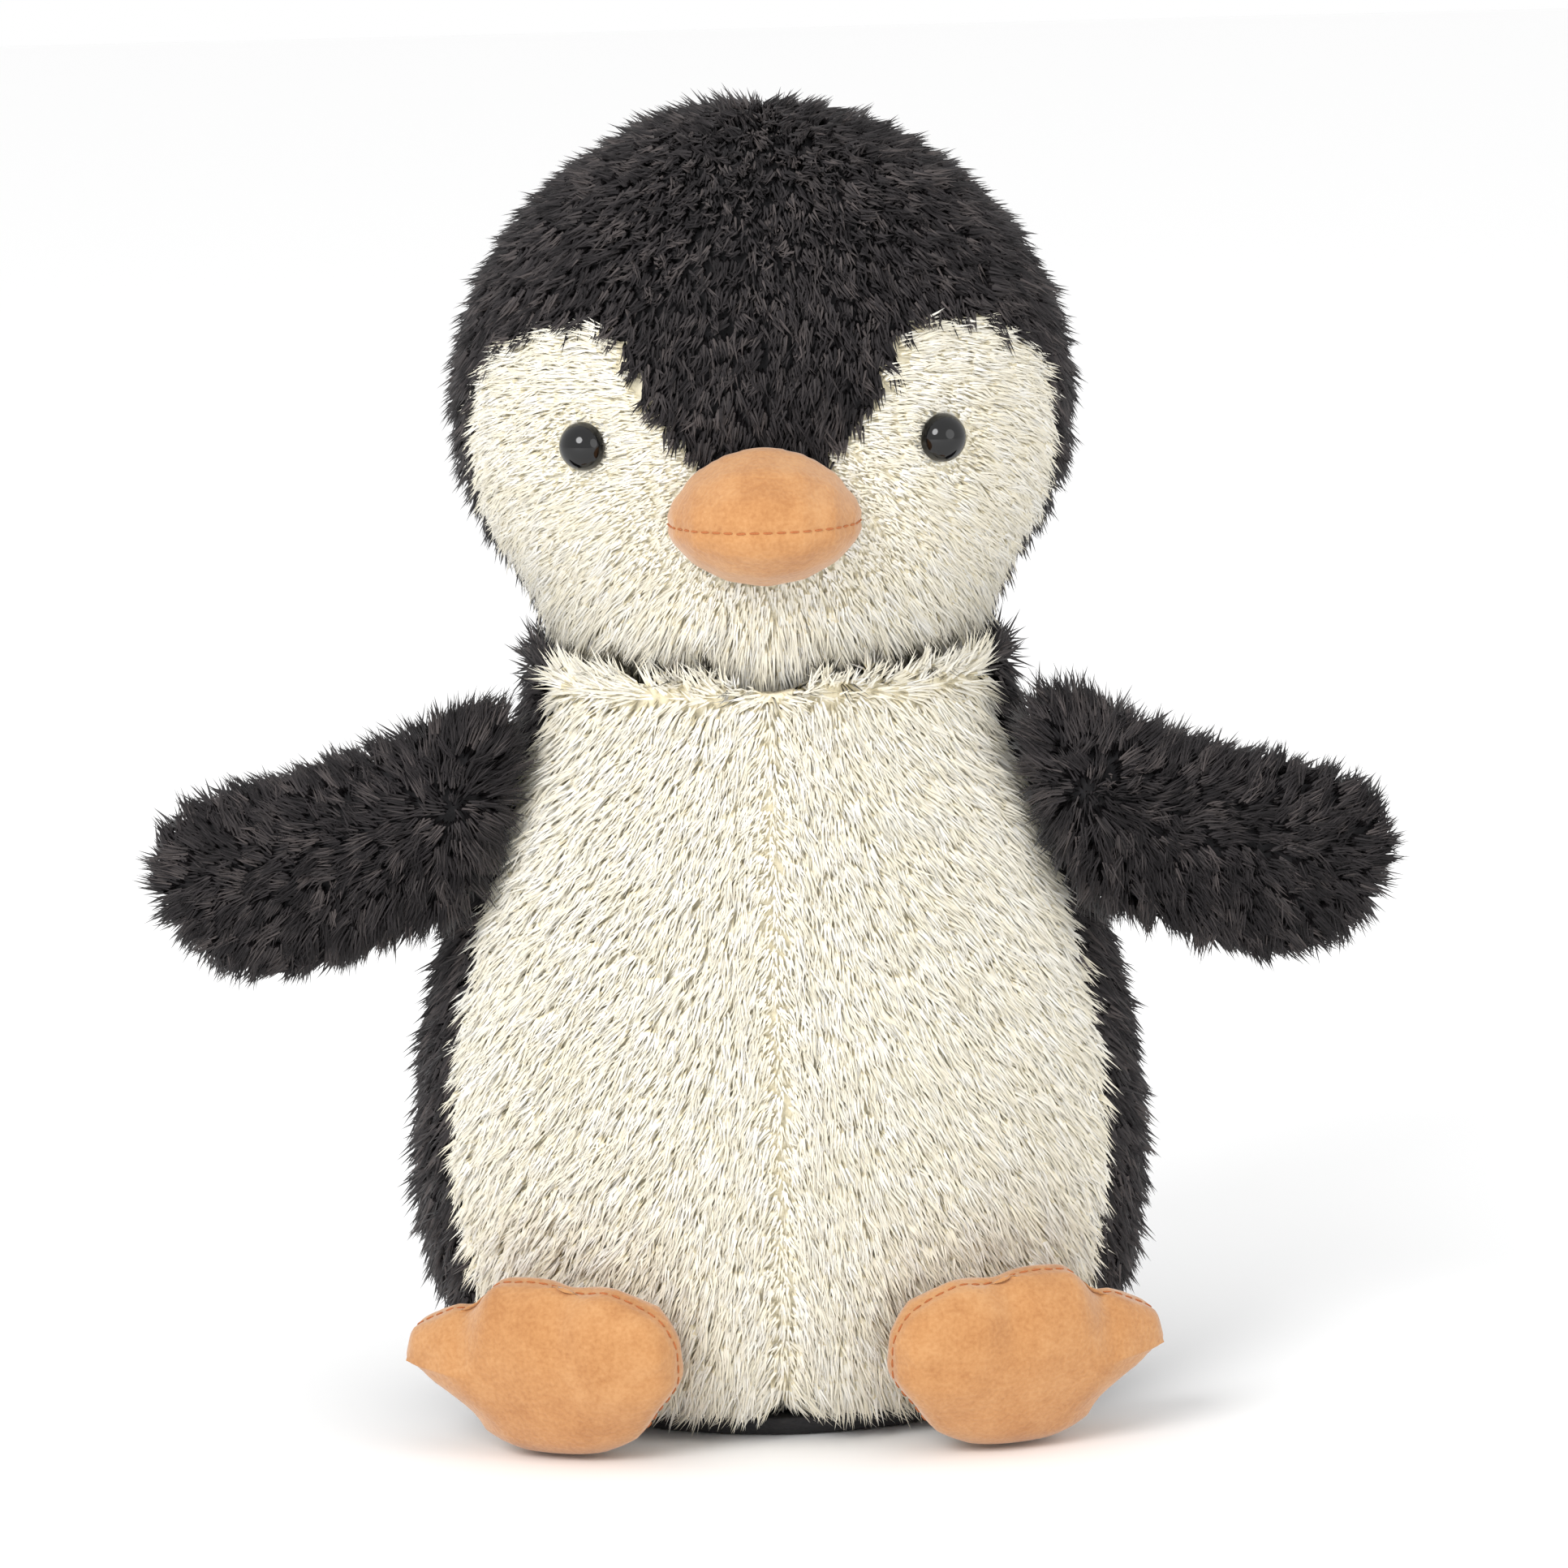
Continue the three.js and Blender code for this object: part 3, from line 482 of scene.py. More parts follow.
def comb_strands(tree, given, read, chance, lock_points, normal):
    """Which way each strand points and how long it is, and its lock's own shade."""
    position = add_node(tree, "GeometryNodeInputPosition").outputs[0]
    nearest = add_node(tree, "GeometryNodeSampleNearest", Geometry=lock_points,
                       Sample_Position=position).outputs[0]
    length = add_node(tree, "ShaderNodeMath", {"operation": "MULTIPLY"}, _0=given["Length"],
                      _1=read["hair"]).outputs[0]

    # What all the strands of a lock share: a mood, a shade, a length and the lock's place.
    mood, fuzz = (add_node(tree, "FunctionNodeRandomValue", {"data_type": "FLOAT_VECTOR"},
                           _0=(-1, -1, -1), _1=(1, 1, 1), Seed=seed).outputs["Value"]
                  for seed in (MOOD_SEED, FUZZ_SEED))
    of_lock = []
    for field, kind in ((mood, "FLOAT_VECTOR"), (chance["lock shade"], "FLOAT"),
                        (chance["lock growth"], "FLOAT"), (position, "FLOAT_VECTOR")):
        sample = add_node(tree, "GeometryNodeSampleIndex", {"data_type": kind, "domain": "POINT"},
                          Geometry=lock_points, Value=field, Index=nearest)
        of_lock.append(sample.outputs[0])
    mood, shade, growth, place = of_lock

    to_lock = add_node(tree, "ShaderNodeVectorMath", {"operation": "SUBTRACT"}, _0=place,
                       _1=position)
    gather = add_node(tree, "ShaderNodeMath", {"operation": "DIVIDE"}, _0=given["Gather"],
                      _1=length)
    direction = normal
    combed = ((read["nap"], given["Lean"]), (mood, given["Stray"]))
    gathered = ((to_lock.outputs["Vector"], gather.outputs[0]), (fuzz, given["Fuzz"]))
    for pulls in (combed, gathered):
        for pull, amount in pulls:
            part = add_node(tree, "ShaderNodeVectorMath", {"operation": "SCALE"}, _0=pull,
                            Scale=amount)
            direction = add_node(tree, "ShaderNodeVectorMath", {"operation": "ADD"},
                                 _0=direction, _1=part.outputs["Vector"]).outputs["Vector"]
        if pulls is combed:
            direction = add_node(tree, "ShaderNodeVectorMath", {"operation": "NORMALIZE"},
                                 _0=direction).outputs["Vector"]

    shares = []
    for field, span, shortest in ((chance["own growth"], STRAND_RANGE, SHORTEST_STRAND),
                                  (growth, LOCK_RANGE, SHORTEST_LOCK)):
        share = add_node(tree, "ShaderNodeMath", {"operation": "MULTIPLY_ADD"}, _0=field,
                         _1=span, _2=shortest)
        shares.append(share.outputs[0])
    both = add_node(tree, "ShaderNodeMath", {"operation": "MULTIPLY"}, _0=shares[0],
                    _1=shares[1])
    length = add_node(tree, "ShaderNodeMath", {"operation": "MULTIPLY"}, _0=length,
                      _1=both.outputs[0]).outputs[0]
    return direction, length, shade


def plant(tree, given, shapes, strands, direction, length):
    """Tufts at the strands' points, turned along their direction with their bow outwards."""
    normal = strands.outputs["Normal"]
    along = add_node(tree, "FunctionNodeAlignRotationToVector", {"axis": "Z"}, Vector=direction)
    turned = add_node(tree, "FunctionNodeAlignRotationToVector",
                      {"axis": "X", "pivot_axis": "Z"}, Rotation=along.outputs[0], Vector=normal)
    wide = add_node(tree, "ShaderNodeMath", {"operation": "MULTIPLY"}, _0=given["Width"],
                    _1=1 / UNIT_WIDTH).outputs[0]
    size = add_node(tree, "ShaderNodeCombineXYZ", X=wide, Y=wide, Z=length)
    choices = add_node(tree, "GeometryNodeCollectionInfo", Collection=shapes,
                       Separate_Children=True, Reset_Children=True)
    pick = add_node(tree, "FunctionNodeRandomValue", {"data_type": "INT"}, _4=0,
                    _5=len(STRAND_BENDS) - 1, Seed=PICK_SEED)
    kept = add_node(tree, "GeometryNodeStoreNamedAttribute",
                    {"data_type": "FLOAT_VECTOR", "domain": "POINT"},
                    Geometry=strands.outputs["Points"], Name="root_normal", Value=normal)
    return add_node(tree, "GeometryNodeInstanceOnPoints", Points=kept.outputs[0],
                    Instance=choices.outputs[0], Pick_Instance=True,
                    Instance_Index=pick.outputs[2], Rotation=turned.outputs[0],
                    Scale=size.outputs[0])


def shade_strands(tree, planted, read, tones, finishes, softness):
    """One finish for each shade of tip, and shading that follows the skin below."""
    parts = []
    for field, part in zip(tones, (LOCK_SHADE, 1 - LOCK_SHADE)):
        parts.append(add_node(tree, "ShaderNodeMath", {"operation": "MULTIPLY"}, _0=field,
                              _1=part).outputs[0])
    mixed = add_node(tree, "ShaderNodeMath", {"operation": "ADD"}, _0=parts[0], _1=parts[1])
    stored = planted
    for name, kind, value in (("tone", "FLOAT", mixed.outputs[0]),
                              ("skin_normal", "FLOAT_VECTOR", read["root_normal"])):
        stored = add_node(tree, "GeometryNodeStoreNamedAttribute",
                          {"data_type": kind, "domain": "INSTANCE"},
                          Geometry=stored.outputs[0], Name=name, Value=value)
    real = add_node(tree, "GeometryNodeRealizeInstances", Geometry=stored.outputs[0])
    # The foot's finish goes on the strands' lower faces: painted shade between the locks.
    root, *tips = finishes
    current = add_node(tree, "GeometryNodeSetMaterial", Geometry=real.outputs[0], Material=root)
    for step, tip in zip(SHADE_STEPS, tips):
        above = add_node(tree, "ShaderNodeMath", {"operation": "GREATER_THAN"},
                         _0=read["tone"], _1=step - 1e-3)
        chosen = add_node(tree, "ShaderNodeMath", {"operation": "MULTIPLY"},
                          _0=above.outputs[0], _1=read["band"])
        current = add_node(tree, "GeometryNodeSetMaterial", Geometry=current.outputs[0],
                           Selection=chosen.outputs[0], Material=tip)
    smooth = add_node(tree, "GeometryNodeSetShadeSmooth", Geometry=current.outputs[0])
    own = add_node(tree, "GeometryNodeInputNormal")
    facing = add_node(tree, "ShaderNodeMix", {"data_type": "VECTOR"}, _0=softness,
                      _4=own.outputs[0], _5=read["skin_normal"])
    return add_node(tree, "GeometryNodeSetMeshNormal", {"mode": "FREE", "domain": "POINT"},
                    Mesh=smooth.outputs[0], Custom_Normal=facing.outputs[1])


def grow_pile(name, skin, tree, inputs, sizes):
    """The pile on one skin as a plain mesh piece."""
    piece = new_piece(name, skin)
    grow(piece, tree, inputs, sizes)
    keep_above_floor(piece)
    for spare in ATTRIBUTES:
        if spare in piece.data.attributes:
            piece.data.attributes.remove(piece.data.attributes[spare])
    return piece


def face_labels(form, nodes):
    """For each face of a form, the number of the CAD panel that lies nearest to it."""
    trees = [surface_tree([node]) for node in nodes]
    labels = []
    for face in form.data.polygons:
        gaps = [tree.find_nearest(face.center)[3] for tree in trees]
        labels.append(gaps.index(min(gaps)))
    return np.array(labels)


def cut_skin(form, name, kept, combing):
    """The kept faces of a form as a mesh of their own, with their nap and hair length."""
    work = bmesh.new()
    work.from_mesh(form.data)
    work.faces.ensure_lookup_table()
    lost = [work.faces[number] for number in np.flatnonzero(~kept)]
    bmesh.ops.delete(work, geom=lost, context="FACES")
    mesh = bpy.data.meshes.new(name)
    work.to_mesh(mesh)
    work.free()
    points, normals = points_of(mesh), normals_of(mesh)
    nap, hair = combing(points / MM)
    nap = nap - normals * np.sum(nap * normals, axis=1, keepdims=True)
    nap /= np.maximum(np.linalg.norm(nap, axis=1, keepdims=True), 1e-6)
    mesh.attributes.new("nap", "FLOAT_VECTOR", "POINT").data.foreach_set("vector", nap.ravel())
    mesh.attributes.new("hair", "FLOAT", "POINT").data.foreach_set("value", hair)
    return mesh


# ------------------------ finishes

def strand_finishes(name, root, tips, roughness, sheen):
    """One finish for the foot of the pile, in painted shade, and one for each shade of its tips."""
    made = [plain_material(name + "_pile_root", root, Roughness=1.0, Specular_IOR_Level=0.0)]
    for number, tip in enumerate(tips):
        made.append(plain_material(f"{name}_pile_{number}", tip, Roughness=roughness,
                                   Sheen_Weight=sheen, Sheen_Roughness=0.4,
                                   Specular_IOR_Level=0.08))
    return made


def knit_cloth(name, low, high):
    """Knitted polyester backing: fine loops, a little uneven in colour."""
    made, tree, shader = new_material(name)
    place = add_node(tree, "ShaderNodeTexCoord").outputs["Object"]
    loops = add_node(tree, "ShaderNodeTexVoronoi", Vector=place, Scale=1 / (0.9 * MM))
    drift = add_node(tree, "ShaderNodeTexNoise", Vector=place, Scale=1 / (14 * MM), Detail=3.0)
    # The loops also drive the bump, so the colour is darker where the bump dips: painted shade in
    # the loops. The slow drift is the cloth's own unevenness.
    mixed = add_node(tree, "ShaderNodeMath", {"operation": "MULTIPLY_ADD"},
                     _0=loops.outputs["Distance"], _1=0.5, _2=drift.outputs[0])
    ramp = add_node(tree, "ShaderNodeValToRGB", Fac=mixed.outputs[0])
    stops = ramp.color_ramp.elements
    stops[0].position, stops[0].color = 0.35, linear(low)
    stops[1].position, stops[1].color = 0.9, linear(high)
    bump = add_node(tree, "ShaderNodeBump", Height=loops.outputs["Distance"], Distance=0.2 * MM,
                    Strength=0.6)
    tree.links.new(ramp.outputs[0], shader.inputs["Base Color"])
    tree.links.new(bump.outputs[0], shader.inputs["Normal"])
    shader.inputs["Roughness"].default_value = 0.95
    return made


def suede(name, dark, middle, light):
    """Brushed microfibre suede: a soft nap that lies lighter and darker in patches."""
    made, tree, shader = new_material(name)
    place = add_node(tree, "ShaderNodeTexCoord").outputs["Object"]
    patches = add_node(tree, "ShaderNodeTexNoise", Vector=place, Scale=1 / (9 * MM), Detail=4.0,
                       Roughness=0.6)
    speckle = add_node(tree, "ShaderNodeTexNoise", Vector=place, Scale=1 / (0.7 * MM), Detail=2.0)
    # The speckle also drives the bump, so its raised parts come out lighter and its dips darker:
    # painted light and shade, over the patches' own tone.
    mixed = add_node(tree, "ShaderNodeMix", {"data_type": "FLOAT"}, _0=0.4,
                     _2=patches.outputs[0], _3=speckle.outputs[0])
    ramp = add_node(tree, "ShaderNodeValToRGB", Fac=mixed.outputs[0])
    stops = ramp.color_ramp.elements
    stops[0].position, stops[0].color = 0.36, linear(dark)
    stops[1].position, stops[1].color = 0.64, linear(light)
    stops.new(0.5).color = linear(middle)
    bump = add_node(tree, "ShaderNodeBump", Height=speckle.outputs[0], Distance=0.25 * MM,
                    Strength=0.5)
    tree.links.new(ramp.outputs[0], shader.inputs["Base Color"])
    tree.links.new(bump.outputs[0], shader.inputs["Normal"])
    shader.inputs["Roughness"].default_value = 0.9
    shader.inputs["Sheen Weight"].default_value = 0.35
    shader.inputs["Sheen Roughness"].default_value = 0.5
    shader.inputs["Specular IOR Level"].default_value = 0.2
    return made


def fibre(name, colour, grain):
    """Matt fibre: the filling, the cotton bag or a thread, with its grain in millimetres."""
    made, tree, shader = new_material(name)
    place = add_node(tree, "ShaderNodeTexCoord").outputs["Object"]
    noise = add_node(tree, "ShaderNodeTexNoise", Vector=place, Scale=1 / (grain * MM), Detail=5.0)
    bump = add_node(tree, "ShaderNodeBump", Height=noise.outputs[0], Distance=0.4 * MM)
    tree.links.new(bump.outputs[0], shader.inputs["Normal"])
    shader.inputs["Base Color"].default_value = linear(colour)
    shader.inputs["Roughness"].default_value = 0.95
    return made


def moulded(name, colour, roughness):
    """Injection-moulded plastic with the faint unevenness of its mould."""
    made, tree, shader = new_material(name)
    place = add_node(tree, "ShaderNodeTexCoord").outputs["Object"]
    noise = add_node(tree, "ShaderNodeTexNoise", Vector=place, Scale=1 / (3 * MM), Detail=2.0)
    bump = add_node(tree, "ShaderNodeBump", Height=noise.outputs[0], Distance=0.01 * MM,
                    Strength=0.3)
    tree.links.new(bump.outputs[0], shader.inputs["Normal"])
    shader.inputs["Base Color"].default_value = linear(colour)
    shader.inputs["Roughness"].default_value = roughness
    return made


# ------------------------ scene

def make_world():
    """Even white light from all round."""
    world = bpy.data.worlds.new("studio")
    world.use_nodes = True
    background = world.node_tree.nodes["Background"]
    background.inputs["Color"].default_value = (1.0, 1.0, 1.0, 1.0)
    background.inputs["Strength"].default_value = 1.0
    bpy.context.scene.world = world


def make_floor():
    """A pale floor, wide enough to reach past the view."""
    work = bmesh.new()
    bmesh.ops.create_grid(work, x_segments=1, y_segments=1, size=4)
    mesh = bpy.data.meshes.new("floor")
    work.to_mesh(mesh)
    work.free()
    floor = new_piece("floor", mesh)
    floor.data.materials.append(plain_material("pale_floor", "#fbfbfb", Roughness=0.8))


make_camera()
make_world()
make_floor()
bpy.context.scene.view_settings.view_transform = "Standard"
area_light("key", (-0.8, -1.5, 1.1), size=0.9, power=21)
area_light("fill", (1.2, -1.2, 0.6), size=1.2, power=5)

# The first colour of each is the pile's foot, darker than the tips as painted shade between the
# locks.
DARK = strand_finishes("charcoal", "#201e1f", ("#2b292a", "#383536", "#464242", "#575150"),
                       0.8, 0.15)
CREAM = strand_finishes("cream", "#f5eaca", ("#f8f1dc", "#fbf5e4", "#fdf9ec", "#fffcf3"),
                        0.9, 0.1)
# Both backings are darker than their pile, as painted shade deep under it; the base, charcoal
# itself, shares the charcoal knit.
dark_cloth = knit_cloth("charcoal_knit", "#161517", "#232224")
cream_cloth = knit_cloth("cream_knit", "#e6dcbc", "#f3ebd2")
orange_suede = suede("orange_suede", "#ad7849", "#ba8655", "#c49261")
filling = fibre("polyester_filling", "#f2f2ee", 4)
cotton = fibre("cotton_cloth", "#ddd8c8", 1)
thread = fibre("dark_thread", "#232224", 0.5)
black_eye = moulded("black_moulding", "#070708", 0.08)
white_plastic = moulded("natural_moulding", "#dcdcd8", 0.4)


def middle(*nodes):
    """The middle of the box round some CAD nodes."""
    low = np.min([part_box(node)[0] for node in nodes], axis=0)
    high = np.max([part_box(node)[1] for node in nodes], axis=0)
    return (low + high) / 2 / MM


# Landmarks of the frame, in millimetres.
MOUTH = np.array([0, 0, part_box("beak_upper")[0][2] / MM])
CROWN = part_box("hood_left")[1][2] / MM
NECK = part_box("belly_left")[1][2] / MM
EYES = [middle(side + "_eye") for side, sign in SIDES]
PIVOT_RISE = 28    # of the head's turning point above the neck's seam
NECK_PIVOT = np.array([0, 0, middle("neck_seam_thread")[2] + PIVOT_RISE])
NECK_BALL = NECK_PIVOT[2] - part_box("hood_left")[0][2] / MM


# Lengths are in millimetres; the others are shares of the pile's length or parts of a direction.
FAN_REACH = 25                        # where the torso's pile fans out most
PARTING, PARTING_REACH = 0.8, 4       # how the pile parts at the torso's middle seam
SEAM_REACH = 2.2                      # how far the seam draws the cloth and shortens the pile
SEAM_SHORTENING, SEAM_ENDS = 0.5, 10  # the pile keeps its length near the seam's two ends
HEM_TOP, HEM_HEIGHT, HEM_GROWTH = 16, 12, 0.25
RIM_PILE = 9                          # height of the band where the pile stands up to the head
RIM_RISE, RIM_GROWTH = 0.25, 0.1


def comb_torso(spread):
    """Pile that lies downwards, fans out from the middle seam and stands up round the neck."""
    def comb(p):
        across, height = p[:, 0], p[:, 2]
        away = np.clip(across / FAN_REACH, -1, 1) * spread
        away += PARTING * np.sign(across) * np.exp(-(across / PARTING_REACH) ** 2)
        at_rim = ease((height - (NECK - RIM_PILE)) / (0.6 * RIM_PILE))
        down = (1 + RIM_RISE) * at_rim - 1
        nap = np.stack([away * (1 - at_rim), np.zeros(len(p)), down], axis=1)
        hair = 1 + RIM_GROWTH * at_rim
        in_middle = ease((height - SEAM_ENDS) / SEAM_ENDS)
        in_middle *= ease((NECK - SEAM_ENDS - height) / SEAM_ENDS)
        hair *= 1 - SEAM_SHORTENING * in_middle * np.exp(-(across / SEAM_REACH) ** 2)
        hair *= 1 + HEM_GROWTH * ease((HEM_TOP - height) / HEM_HEIGHT)
        return nap, hair
    return comb


CROWN_DEPTH, CROWN_FAN = 30, 40   # the pile fans out over the crown only
HOOD_HAIR, NAPE_HEIGHT, NAPE_GROWTH = 0.85, 14, 0.3


def comb_hood(p):
    """Pile that runs from the crown down and outwards, and grows longer at the nape."""
    top = np.clip((p[:, 2] - (CROWN - CROWN_DEPTH)) / CROWN_DEPTH, 0, 1)[:, None]
    nap = np.stack([p[:, 0] / CROWN_FAN, p[:, 1] / CROWN_FAN, np.zeros(len(p))], axis=1) * top
    nap[:, 2] -= 1
    return nap, HOOD_HAIR + NAPE_GROWTH * ease((NECK + NAPE_HEIGHT - p[:, 2]) / NAPE_HEIGHT)


FACE_HAIR, FACE_DROOP = 0.75, 0.7
BEAK_SHAPE = [1.35, 1.0]                          # the beak's width beside its height
BEAK_CLEAR, BEAK_REACH, BEAK_HAIR = 8, 12, 0.55   # where pile is short round the beak
EYE_CLEAR, EYE_REACH, EYE_HAIR = 3, 6, 0.45       # and round the eyes
CHIN_TOP, CHIN_HEIGHT, CHIN_GROWTH = 18, 16, 0.6


def comb_face(p):
    """Pile that spreads from the beak, short there and at the eyes and long at the chin."""
    away = (p - MOUTH)[:, [0, 2]]
    reach = np.linalg.norm(away / BEAK_SHAPE, axis=1)
    away = away / np.maximum(np.linalg.norm(away, axis=1, keepdims=True), 1)
    hair = FACE_HAIR * np.clip((reach - BEAK_CLEAR) / BEAK_REACH, BEAK_HAIR, 1)
    hair += CHIN_GROWTH * ease((NECK + CHIN_TOP - p[:, 2]) / CHIN_HEIGHT)
    for eye in EYES:
        gap = np.linalg.norm(p - eye, axis=1)
        hair *= np.clip((gap - EYE_CLEAR) / EYE_REACH, EYE_HAIR, 1)
    nap = np.stack([away[:, 0], np.zeros(len(p)), away[:, 1] - FACE_DROOP], axis=1)
    return nap, hair


WING_REACH = 30               # from the middle of a wing to its tip
WING_DROP = 9                 # of the tip below the wing's middle line
FLARE_REACH, FLARE_MOST = 8, 1.3
ROOT_REACH, ROOT_BLEND = 0.75, 0.4   # shares of the wing, at whose root the pile turns back
WING_HAIR, ROOT_GROWTH = 0.9, 0.35


def comb_wing(side, sign):
    """Pile that runs out to the wing's tip and flares from its middle line to its edges."""
    centre = middle(side + "_wing_front", side + "_wing_back")

    def comb(p):
        off = p - centre
        reach = off[:, 0] * sign / WING_REACH
        outward = np.clip((reach + ROOT_REACH) / ROOT_BLEND, -0.5, 0.8) * sign
        flare = np.clip((off[:, 2] + WING_DROP * reach) / FLARE_REACH, -FLARE_MOST, FLARE_MOST)
        nap = np.stack([outward, np.zeros(len(p)), flare], axis=1)
        return nap, WING_HAIR + ROOT_GROWTH * ease(-reach)
    return comb


shapes = strand_shapes()
trees = {"dark": pile_tree(shapes, DARK), "cream": pile_tree(shapes, CREAM)}

DARK_PILE = {"Length": 7.5 * MM, "Lock density": 0.32e6, "Stray": 0.55, "Gather": 0.8,
             "Fuzz": 0.14, "Softness": 0.4}
PALE_PILE = {"Length": 6.8 * MM, "Lock density": 0.5e6, "Stray": 0.4, "Gather": 0.6,
             "Fuzz": 0.18, "Softness": 0.8}
PILE = {   # tufts to a square metre, the width of a strand, and how far the pile lies over
    "back": dict(DARK_PILE, Density=0.95e6, Width=0.72 * MM, Lean=1.3),
    "hood": dict(DARK_PILE, Density=1.5e6, Width=0.58 * MM, Lean=1.2),
    "wing": dict(DARK_PILE, Density=2.3e6, Width=0.46 * MM, Lean=0.8),
    "belly": dict(PALE_PILE, Density=1.9e6, Width=0.52 * MM, Lean=1.5),
    "face": dict(PALE_PILE, Density=2.1e6, Width=0.48 * MM, Lean=1.4),
}
COLOURS = {"back": "dark", "hood": "dark", "wing": "dark", "belly": "cream", "face": "cream"}
TUFT_TRIANGLES = 12
MOST_TRIANGLES = 190_000   # of one piece of pile; a larger panel is planted in bands


# ------------------------ stuffed plush

SKIN_INSET = 3.2   # how far the backing lies inside the frame's surface, under the pile
WING_INSET = 2.4
EYE_SEAT, EYE_SEAT_REACH = 1.6, 8   # how much less that is at the eyes
RIM_DEPTH = 16     # how far below the neck the shoulders' edge begins to thin
RIM_INSET = 1.0
CUP_RISE = 1.2     # how far the cup is drawn towards the head
CUP_FACING, FACING_BLEND = 0.1, 0.4    # how squarely a hollow place faces the head's pivot
CUP_REACH, REACH_BLEND = 8, 4          # how far outside the head's ball the cup can lie
CHIN_FACING, CHIN_RISE = -0.3, 5       # the chin's underside faces down, and lies no higher
RIM_DROP = 1       # of the backing's edge, which the pile round it hides
RIM_SECTORS = 24
NECK_FRONT = 12    # how far forward of the axis the neck's fold is lined in cream
TORSO_PANELS = ["belly_left", "belly_right", "back_left", "back_right"]
SEAM_DEPTH = 1.8   # how far the middle seams are drawn in
PLUG_DEPTH = 12    # how far below the neck the cloth in the hollow is left bare
CUP_BARE = 4
BACKING_SMOOTHING = 12
PLUSH_PRESSURE = 1.5
PLUSH_SWELL = 1.2 * MM


def inset_wing(points, normals):
    return np.full(len(points), WING_INSET)


def raise_rim(points):
    """Draws the shoulders' thin edge back up to the neck and onto the frame's own surface."""
    turns = np.arctan2(points[:, 1], points[:, 0])
    sector = np.floor((turns + math.pi) / (2 * math.pi) * RIM_SECTORS) % RIM_SECTORS
    tops = [points[sector == number, 2].max() for number in range(RIM_SECTORS)]
    middles = -math.pi + (np.arange(RIM_SECTORS) + 0.5) * 2 * math.pi / RIM_SECTORS
    top = np.interp(turns, middles, tops, period=2 * math.pi)
    points = points.copy()
    points[:, 2] += (NECK - RIM_DROP - top) * ease((points[:, 2] - top + RIM_DEPTH) / RIM_DEPTH)
    tree = surface_tree(TORSO_PANELS)
    pull = ease((points[:, 2] - (NECK - RIM_DEPTH)) / (0.4 * RIM_DEPTH))
    for index in np.flatnonzero(pull > 0):
        nearest = np.array(tree.find_nearest(points[index] * MM)[0]) / MM
        points[index] += (nearest - points[index]) * pull[index]
    return points


def cup_share(points, normals):
    """1 where the shoulders are hollow and face the head, 0 on their outside."""
    to_pivot = NECK_PIVOT - points
    away = np.linalg.norm(to_pivot, axis=1)
    facing = np.sum(to_pivot * normals, axis=1) / away
    near = ease((NECK_BALL + CUP_REACH - away) / REACH_BLEND)
    return ease((facing - CUP_FACING) / FACING_BLEND) * near


def in_cup(points, normals):
    return cup_share(points, normals) > 0.5


def in_fold(points, normals, body):
    """The front of the fold between head and shoulders: the chin's underside or the cup."""
    if body == "torso":
        facing = in_cup(points, normals)
    else:
        facing = (normals[:, 2] < CHIN_FACING) & (points[:, 2] < NECK + CHIN_RISE)
    return facing & (points[:, 1] < -NECK_FRONT) & (points[:, 2] > NECK - RIM_DEPTH)


def inset_torso(points, normals):
    """Inward all round, less at the neck, and towards the head where the shoulders cup it."""
    outside = RIM_INSET + (SKIN_INSET - RIM_INSET) * ease((NECK - points[:, 2]) / RIM_DEPTH)
    outside += SEAM_DEPTH * np.exp(-(points[:, 0] / SEAM_REACH) ** 2)
    share = cup_share(points, normals)
    return outside - share * (CUP_RISE + outside)


def inset_head(points, normals):
    """Inward all round, less at the eyes, which sit on the cloth."""
    depth = np.full(len(points), SKIN_INSET)
    for eye in EYES:
        gap = np.linalg.norm(points - eye, axis=1)
        depth -= EYE_SEAT * np.exp(-(gap / EYE_SEAT_REACH) ** 2)
    return depth


def held_points(form, labels):
    """The points on a form's seams and in its hollows, which stuffing doesn't move."""
    held = np.zeros(len(form.data.vertices), dtype=bool)
    first = np.full(len(held), -1)
    for face, label in zip(form.data.polygons, labels):
        for vert in face.vertices:
            held[vert] |= first[vert] not in (-1, label)
            first[vert] = label
    points, normals = points_of(form.data) / MM, normals_of(form.data)
    near_neck = np.abs(points[:, 2] - NECK) < RIM_DEPTH
    return held | near_neck | in_cup(points, normals)


